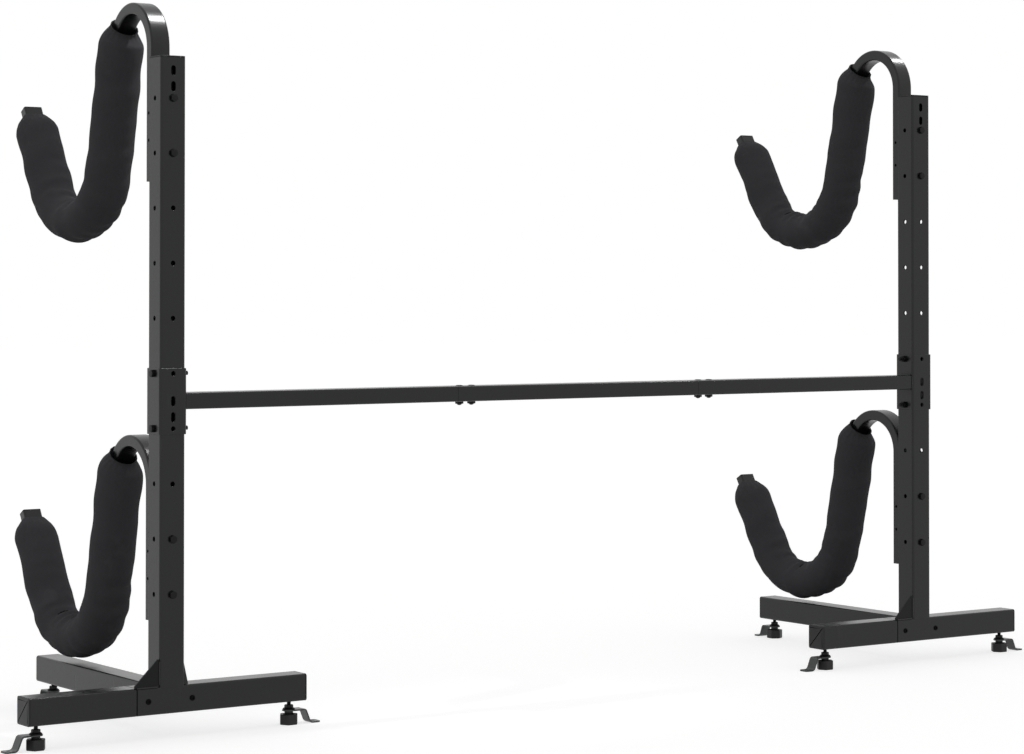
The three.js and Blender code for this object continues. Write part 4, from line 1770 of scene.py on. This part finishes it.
@dataclass(frozen=True)
class Bolt:
    """A bolt with its nut, head down along Z."""

    thread: float = 0.008
    across_flats: float = 0.013
    head: float = 0.0053
    nut: float = 0.0065
    pitch: float = 0.00125
    thread_depth: float = 0.61      # share of the pitch
    chamfer: float = math.radians(30)
    crown: float = 0.97             # the chamfer's circle, as a share of the flats
    dome: float = 0.62              # a domed nut's radius, as a share of the thread
    head_form: Head = Head.HEXAGON
    nut_form: Nut = Nut.PLAIN
    socket: float = 0.0026

    def hexagon(self, name: str, bottom: float, height: float, crown_up: bool) -> Model:
        """A six-sided body whose far face is chamfered to a circle.

        Args:
            name: Name of the piece.
            bottom: Height of its lower face.
            height: Its thickness.
            crown_up: Whether the chamfer is on top.

        Returns:
            The body.
        """
        corners = self.across_flats / math.sqrt(3)
        middle = bottom + height / 2
        body = Model.rod(name, (0, 0, middle), corners, height, Axis.Z, 6)
        trim = corners - self.across_flats / 2 * self.crown
        fall = trim * math.tan(self.chamfer)
        side = 1 if crown_up else -1
        far, near = middle + side * height / 2, middle - side * (height / 2 + 0.001)
        crown = Model.turned("crown", [
            (0.0, near), (corners + 0.0002, near), (corners + 0.0002, far - side * (fall + 0.0001)),
            (corners - trim, far), (0.0, far)], 48)
        return body.combine([crown], "INTERSECT")

    def screw_thread(self, name: str, bottom: float, top: float) -> Model:
        """A helical thread: one turn's outline, wound up the axis and closed at its ends.

        Args:
            name: Name of the piece.
            bottom: Where the thread starts.
            top: Where it ends, to the nearest turn.

        Returns:
            The threaded stud.
        """
        crest = self.thread / 2
        root = crest - self.thread_depth * self.pitch
        turns = max(round((top - bottom) / self.pitch), 1)
        tooth = Model.outline(name, [
            (root, 0.0, bottom), (root, 0.0, bottom + self.pitch * 0.12),
            (crest, 0.0, bottom + self.pitch * 0.50), (crest, 0.0, bottom + self.pitch * 0.62),
            (root, 0.0, bottom + self.pitch)])
        tooth.modify("SCREW", angle=math.tau, screw_offset=self.pitch, iterations=turns, steps=24,
                     render_steps=24, use_merge_vertices=True, merge_threshold=TINY, axis="Z")
        return tooth.fill_rims().tidy()

    def _head(self, name: str) -> Model:
        """The head, which ends at z = 0."""
        if self.head_form is Head.HEXAGON:
            return self.hexagon(name, -self.head, self.head, False)
        edge = self.across_flats / 2
        dome = Model.turned(
            name, [(edge * radius, -self.head * height) for radius, height in BUTTON], 40)
        key = Model.rod("key", (0, 0, -self.head), self.socket, self.head * 1.1, Axis.Z, 6)
        return dome.cut([key])

    def _nut(self, bottom: float) -> list[Model]:
        """The nut, and its dome if it has one."""
        parts = [self.hexagon("nut", bottom, self.nut, True)]
        if self.nut_form is Nut.DOMED:
            wide, top = self.thread * self.dome, bottom + self.nut
            parts.append(Model.turned(
                "dome", [(wide * radius, top + height) for radius, height in ACORN], 32))
        return parts

    def build(self, name: str, grip: float, stub: float) -> Model:
        """Model a fitted bolt, whose head's seat is z = 0.

        Args:
            name: Name of the piece.
            grip: Thickness of what it holds together.
            stub: Thread that stands past the nut, which a domed nut hides.

        Returns:
            The bolt with its nut.
        """
        end = grip + self.nut + stub
        radius = self.thread / 2
        core = radius - 0.0007
        parts = self._nut(grip)
        if self.nut_form is Nut.PLAIN:
            parts.append(self.screw_thread("thread", grip + 0.0009, end - 0.0006))
            parts.append(Model.turned("core", [
                (0.0, grip), (core, grip), (core, end - 0.0006), (core - 0.0007, end),
                (0.0, end)], 24))
        parts.append(Model.turned("shank", [
            (0.0, -GAP), (radius, -GAP), (radius, grip + 0.0004), (0.0, grip + 0.0004)], 24))
        return self._head(name).with_parts(parts).shade()


Copies = dict[str, tuple[Any, ...]]     # the place of each copy and its frame nodes, by name


@dataclass
class Fasteners:
    """All bolts of the rack."""

    finishes: Finishes
    coupling_levels: tuple[float, float] = (-FIRST_HOLE, 0.0225)
    coupling_stub: float = 0.0080
    base_stub: float = 0.002

    def build(self) -> None:
        """Model each kind of bolt once and copy it to its places."""
        self._copy(*self._arm_bolts())
        self._copy(*self._coupling_bolts())
        self._copy(*self._base_bolts(), self.finishes.dull_oxide)
        self._copy(*self._splice_bolts())

    def _copy(self, model: Model, places: Copies,
              finish: bpy.types.Material | None = None) -> None:
        """Copy one bolt to its places.

        Args:
            model: The bolt, which is used up.
            places: Where each copy goes and the frame nodes that it stands for, by its name.
            finish: Its finish, where that isn't the oxide.
        """
        for name, (place, *replaced) in places.items():
            model.copy(name, place).fit(
                finish or self.finishes.oxide, Slot.ZINC, "rack", *replaced)
        model.discard()

    def _arm_bolts(self) -> tuple[Model, Copies]:
        """Two through each post and shank, with their heads in front.

        Returns:
            The bolt and its places.
        """
        kind, post = Bolt(), Box.of("left_upper_post")
        front = post.low.y - GAP
        back = post.high.y + GAP + CradlePath.depth
        end_y = Box.of("left_upper_arm_bolt_1").high.y
        model = kind.build("arm_bolt", back - front, end_y - back - kind.nut)
        places = {}
        for name in (f"{end}_{tier}" for end in ENDS for tier in TIERS):
            for number in (1, 2):
                node = f"{name}_arm_bolt_{number}"
                place = Matrix.Translation(Box.of(node).at(y=front))
                places[f"{name}_cradle_bolt_{number}"] = (place, node)
        return model.turned_about(Axis.X, -QUARTER), places

    def _coupling_bolts(self) -> tuple[Model, Copies]:
        """Two through each coupling, with their heads on the outer side of the rack.

        Returns:
            The bolt and its places.
        """
        grip = Box.of("left_coupling_sleeve").size.x + 2 * GAP
        model = Bolt().build("coupling_bolt", grip, self.coupling_stub)
        places = {}
        for end in ENDS:
            sleeve, joint = Box.of(f"{end}_coupling_sleeve"), Box.of(f"{end}_lower_post").high.z
            x, turn = (sleeve.low.x - GAP, 0.0) if end == "left" else (sleeve.high.x + GAP, math.pi)
            for number, level in enumerate(self.coupling_levels, 1):
                places[f"{end}_coupling_bolt_{number}"] = (
                    placed(x, sleeve.centre.y, joint + level, turn),)
        return model.turned_about(Axis.Y, QUARTER), places

    def _base_bolts(self) -> tuple[Model, Copies]:
        """Two through each base bar and the splice tube in it, with their heads in front.

        Returns:
            The bolt and its places.
        """
        kind = Bolt(across_flats=0.0105, head=0.0026, head_form=Head.BUTTON)
        grip = Box.of("left_base_bar").size.y + 2 * GAP
        model = kind.build("base_bolt", grip, self.base_stub)
        places = {}
        for end in ENDS:
            bar, x = Box.of(f"{end}_base_bar"), Box.of(f"{end}_lower_post").centre.x
            for number, offset in enumerate(BASE_BOLTS, 1):
                places[f"{end}_base_bolt_{number}"] = (
                    Matrix.Translation(bar.at(x=x + offset, y=bar.low.y - GAP)),)
        return model.turned_about(Axis.X, -QUARTER), places

    def _splice_bolts(self) -> tuple[Model, Copies]:
        """Two at each joint of the crossbar, with their heads on top.

        Returns:
            The bolt and its places.
        """
        kind = Bolt(across_flats=0.014, head=0.0012, nut=0.0048, head_form=Head.BUTTON,
                    nut_form=Nut.DOMED)
        bar = Box.of("crossbar_left")
        model = kind.build("splice_bolt", bar.size.z + 2 * GAP, 0.0)
        spots = [joint + offset for joint in Crossbar.joints() for offset in SPLICE_BOLTS]
        places = {
            f"crossbar_splice_bolt_{number}": (
                Matrix.Translation(bar.at(x=spot, z=bar.high.z + GAP)),)
            for number, spot in enumerate(spots, 1)}
        return model.turned_about(Axis.X, math.pi), places


# ---- Levelling feet ------------------------------------------------------------------------
LEG_TURNS = {"front_leg": math.pi, "base_bar": 0.0, "back_leg": QUARTER}


@dataclass
class Feet:
    """The six levelling feet and the hold-down strap under each one's lock nut."""

    finishes: Finishes
    block_radius: float = 0.0186
    block_height: float = 0.0195
    neck_radius: float = 0.008
    strap_top: float = 0.028
    strap_thickness: float = 0.003
    strap_width: float = 0.025
    knee: float = 0.031
    heel: float = 0.041
    toe: float = 0.0625
    eye: float = 0.009
    screw_hole: float = 0.007
    screw_inset: float = 0.011
    toe_corner: float = 0.006
    knee_bend: float = 0.0045
    stud_core: float = 0.0034
    stud_top: float = 0.075
    stud_sink: float = 0.004
    nut_across_flats: float = 0.0145
    nut_height: float = 0.0076      # just clears the leg at the top of the lift
    flange: float = 0.0115

    def _foot(self) -> Model:
        """The moulded foot with its neck, on the vertical axis.

        Returns:
            The foot.
        """
        height = self.block_height
        block = Model.rod("block", (0, 0, height / 2), self.block_radius, height, Axis.Z, 6)
        block.turned_about(Axis.Z, math.radians(30))
        block.pick_edges(lambda middle, way: abs(way.z) > FACING).bevel(0.0024, 3)
        for level, width, steps in ((0.0, 0.0018, 3), (height, 0.0012, 3)):
            block.pick_edges(
                lambda middle, way: abs(middle.z - level) < TINY and abs(way.z) < 0.1)
            block.bevel(width, steps)
        block.pick_faces(lambda middle, normal: normal.z > LEVEL)
        block.inset(0.0022).move((0.0, 0.0, -0.0006))
        neck, top = self.neck_radius, self.strap_top - self.strap_thickness - GAP
        stem = Model.turned("neck", [
            (0.0, height - 0.004), (neck + 0.0025, height - 0.004), (neck + 0.0025, height + 0.0004),
            (neck + 0.0008, height + 0.0012), (neck, height + 0.002), (neck, top - 0.0006),
            (neck - 0.0006, top), (0.0, top)], 40)
        return block.combine([stem], "UNION").shade()

    def _stud(self) -> Model:
        """The threaded stud with its flanged lock nut.

        Returns:
            The stud.
        """
        thread = Bolt(across_flats=self.nut_across_flats)
        core, rim, seat = self.stud_core, self.flange, self.strap_top + GAP
        bottom = self.strap_top - self.strap_thickness - self.stud_sink
        stud = Model.turned("core", [
            (0.0, bottom), (core, bottom), (core, self.stud_top - 0.001),
            (core - 0.0008, self.stud_top), (0.0, self.stud_top)], 24)
        wound = thread.screw_thread("wound", bottom + 0.0002, self.stud_top - 0.0008)
        flange = Model.turned("flange", [
            (0.0, seat), (rim - 0.0003, seat), (rim, seat + 0.0003), (rim, seat + 0.0012),
            (rim - 0.0004, seat + 0.0015), (rim - 0.0030, seat + 0.0032), (0.0, seat + 0.0036)], 48)
        nut = thread.hexagon("nut", seat + 0.0008, self.nut_height, True)
        return stud.with_parts([wound, flange, nut]).shade()

    def _strap(self) -> Model:
        """The bent strap, pointing along +X, with a round end at its eye and a rounded toe.

        Returns:
            The strap.
        """
        half, top = self.strap_width / 2, self.strap_top
        line = Model.outline("strap", [
            (-half, -half, top), (self.knee, -half, top),
            (self.heel, -half, self.strap_thickness), (self.toe, -half, self.strap_thickness)])
        line.pick_points(lambda point: self.knee - TINY < point.x < self.heel + TINY)
        line.bevel(self.knee_bend, 5, corners=True)
        line.pick_all(Pick.EDGES).extrude((0.0, self.strap_width, 0.0)).tidy()
        if max(line.obj.data.polygons, key=lambda face: face.center.z).normal.z < 0:
            line.pick_all().work(bpy.ops.mesh.flip_normals)
        line.modify("SOLIDIFY", thickness=self.strap_thickness, offset=-1.0, use_even_offset=True)
        line.pick_edges(lambda place, way: abs(way.z) > FACING and place.x < -half + TINY)
        line.bevel(half - 0.0003, 16)
        line.pick_edges(lambda place, way: abs(way.z) > FACING and place.x > self.toe - TINY)
        line.bevel(self.toe_corner, 6)
        line.cut([
            Model.rod("punch", middle, width / 2, 0.02, Axis.Z, 40) for middle, width in (
                ((0, 0, top), self.eye), ((self.toe - self.screw_inset, 0, 0), self.screw_hole))])
        return line.soften(EDGE_BREAK)

    def build(self) -> None:
        """Model one of each and copy them to the six legs."""
        foot, stud, strap = self._foot(), self._stud(), self._strap()
        for name, turn in ((f"{end}_{leg}", turn) for end in ENDS for leg, turn in LEG_TURNS.items()):
            place = placed(*Box.of(f"{name}_levelling_foot").at(z=0.0), turn)
            foot.copy(f"{name}_foot_block", place).fit(
                self.finishes.moulded, Slot.PLASTIC, f"{name}_foot", f"{name}_levelling_foot")
            stud.copy(f"{name}_foot_stud", place).fit(self.finishes.oxide, Slot.ZINC, f"{name}_foot")
            strap.copy(f"{name}_floor_strap", place).fit(
                self.finishes.zinc, Slot.ZINC, f"{name}_strap", f"{name}_hold_down_strap")
        foot.discard(stud, strap)


@dataclass
class EndCaps:
    """The caps on the posts and the legs."""

    finishes: Finishes
    cap: Cap = Cap()

    def build(self) -> None:
        """Model one cap and copy it to the posts' tops and the legs' ends."""
        cap = self.cap.build("cap", SQUARE.width, SQUARE.height, SQUARE.corner)
        upright = Matrix.Rotation(QUARTER, 4, "Y")
        for end in ENDS:
            plug = Box.of(f"{end}_post_plug")
            top = plug.at(z=plug.high.z - self.cap.thickness)
            places = {"post": (Matrix.Translation(top), f"{end}_post_plug")}
            for leg, turn in LEG_TURNS.items():
                plug = Box.of(f"{end}_{leg}_end_plug")
                outward = Vector((math.cos(turn), math.sin(turn), 0.0))
                reach = plug.size.dot(Vector(map(abs, outward))) / 2 - self.cap.thickness
                place = placed(*(plug.centre + outward * reach), turn) @ upright
                places[leg] = (place, f"{end}_{leg}_end_plug")
            for part, (place, node) in places.items():
                cap.copy(f"{end}_{part}_cap", place).fit(
                    self.finishes.moulded, Slot.PLASTIC, "rack", node)
        cap.discard()


# ---- Studio --------------------------------------------------------------------------------
@dataclass
class Studio:
    """Camera, floor and lights."""

    camera_place: Place = (-3.25157, -4.87559, 0.81426)
    azimuth: float = math.radians(-35.13)
    lift: float = math.radians(0.886)
    lens: float = 98.53
    sensor: float = 36.0
    shift: tuple[float, float] = (-0.05235, -0.12916)
    floor_size: float = 60.0
    floor_grain: float = 220.0
    floor_greys: tuple[Colour, Colour] = ((0.47, 0.47, 0.47), (0.50, 0.50, 0.50))
    plain_light: float = 0.65
    floor_glow: float = 0.69
    softbox_edge: float = 0.5
    softbox_spread: float = math.radians(2.4)
    softbox_powers: tuple[float, float] = (0.72, 0.20)
    softbox_places: tuple[Place, Place] = ((4.47, -1.71, 11.93), (9.60, 0.76, 11.05))
    arch_tops: tuple[Place, Place] = ((-0.91, -0.24, 1.31), (0.91, -0.24, 1.31))

    def build(self) -> None:
        """Set up the studio."""
        self._camera()
        self._floor()
        self._world()
        for end, *settings in zip(
                ENDS, self.softbox_places, self.arch_tops, self.softbox_powers):
            self._softbox(f"{end}_softbox", *settings)

    def _camera(self) -> None:
        """The photograph's own view."""
        data = bpy.data.cameras.new("camera")
        data.sensor_width = self.sensor
        data.lens = self.lens
        data.shift_x, data.shift_y = self.shift
        camera = bpy.data.objects.new("camera", data)
        camera.location = self.camera_place
        camera.rotation_euler = (QUARTER + self.lift, 0.0, self.azimuth)
        bpy.context.scene.collection.objects.link(camera)
        bpy.context.scene.camera = camera

    def _floor(self) -> None:
        """A white floor that looks as bright as the backdrop and keeps the rack's shadow."""
        floor = Model.plate("floor", (0, 0, 0), (self.floor_size, self.floor_size))
        graph = Graph.material("floor")
        grain = graph.noise(graph.place(), self.floor_grain, 2.0)
        graph.dress(
            Base_Color=graph.tint(*self.floor_greys, grain), Roughness=0.85, Specular_IOR_Level=0.0)
        lit = graph.nodes.new("ShaderNodeEmission")
        both = graph.nodes.new("ShaderNodeAddShader")
        graph.feed(lit.inputs["Strength"], graph.seen() * self.floor_glow)
        graph.links.new(graph.nodes["Principled BSDF"].outputs[0], both.inputs[0])
        graph.links.new(lit.outputs[0], both.inputs[1])
        graph.links.new(both.outputs[0], graph.nodes["Material Output"].inputs["Surface"])
        floor.obj.data.materials.append(graph.owner)

    def _world(self) -> None:
        """A pale surround, white to the camera and in reflections."""
        world = bpy.data.worlds.new("surround")
        bpy.context.scene.world = world
        graph = Graph(world)
        strength = graph.node(
            "ShaderNodeMix", {}, {"Factor": graph.seen(), "A": self.plain_light, "B": 1.0}, "Result")
        ground = graph.nodes["Background"]
        graph.feed(ground.inputs["Color"], (1.0, 1.0, 1.0, 1.0))
        graph.feed(ground.inputs["Strength"], strength)

    def _softbox(self, name: str, place: Place, target: Place, power: float) -> None:
        """A distant softbox with a narrow beam, which mirrors in the outer face of an arch.

        Args:
            name: Its name.
            place: Where it hangs.
            target: What it faces.
            power: Its power in watts.
        """
        data = bpy.data.lights.new(name, "AREA")
        data.shape = "SQUARE"
        data.size = self.softbox_edge
        data.energy = power
        data.spread = self.softbox_spread
        lamp = bpy.data.objects.new(name, data)
        lamp.location = place
        lamp.visible_camera = False
        aim = Vector(target) - Vector(place)
        lamp.rotation_euler = aim.to_track_quat("-Z", "Y").to_euler()
        bpy.context.scene.collection.objects.link(lamp)


def main() -> None:
    """Build the rack and its studio, in order."""
    logging.basicConfig(level=logging.INFO, format="%(name)s %(message)s")
    bpy.context.scene.view_settings.view_transform = "Standard"
    Studio().build()
    finishes = Finishes()
    for end in ENDS:
        Post(end, finishes).build()
        Base(end, finishes).build()
        Welds(end, finishes).build()
    Crossbar(finishes).build()
    EndCaps(finishes).build()
    Cradle(finishes).build()
    Feet(finishes).build()
    Fasteners(finishes).build()
    deselect_all()


if __name__ == "__main__":
    main()
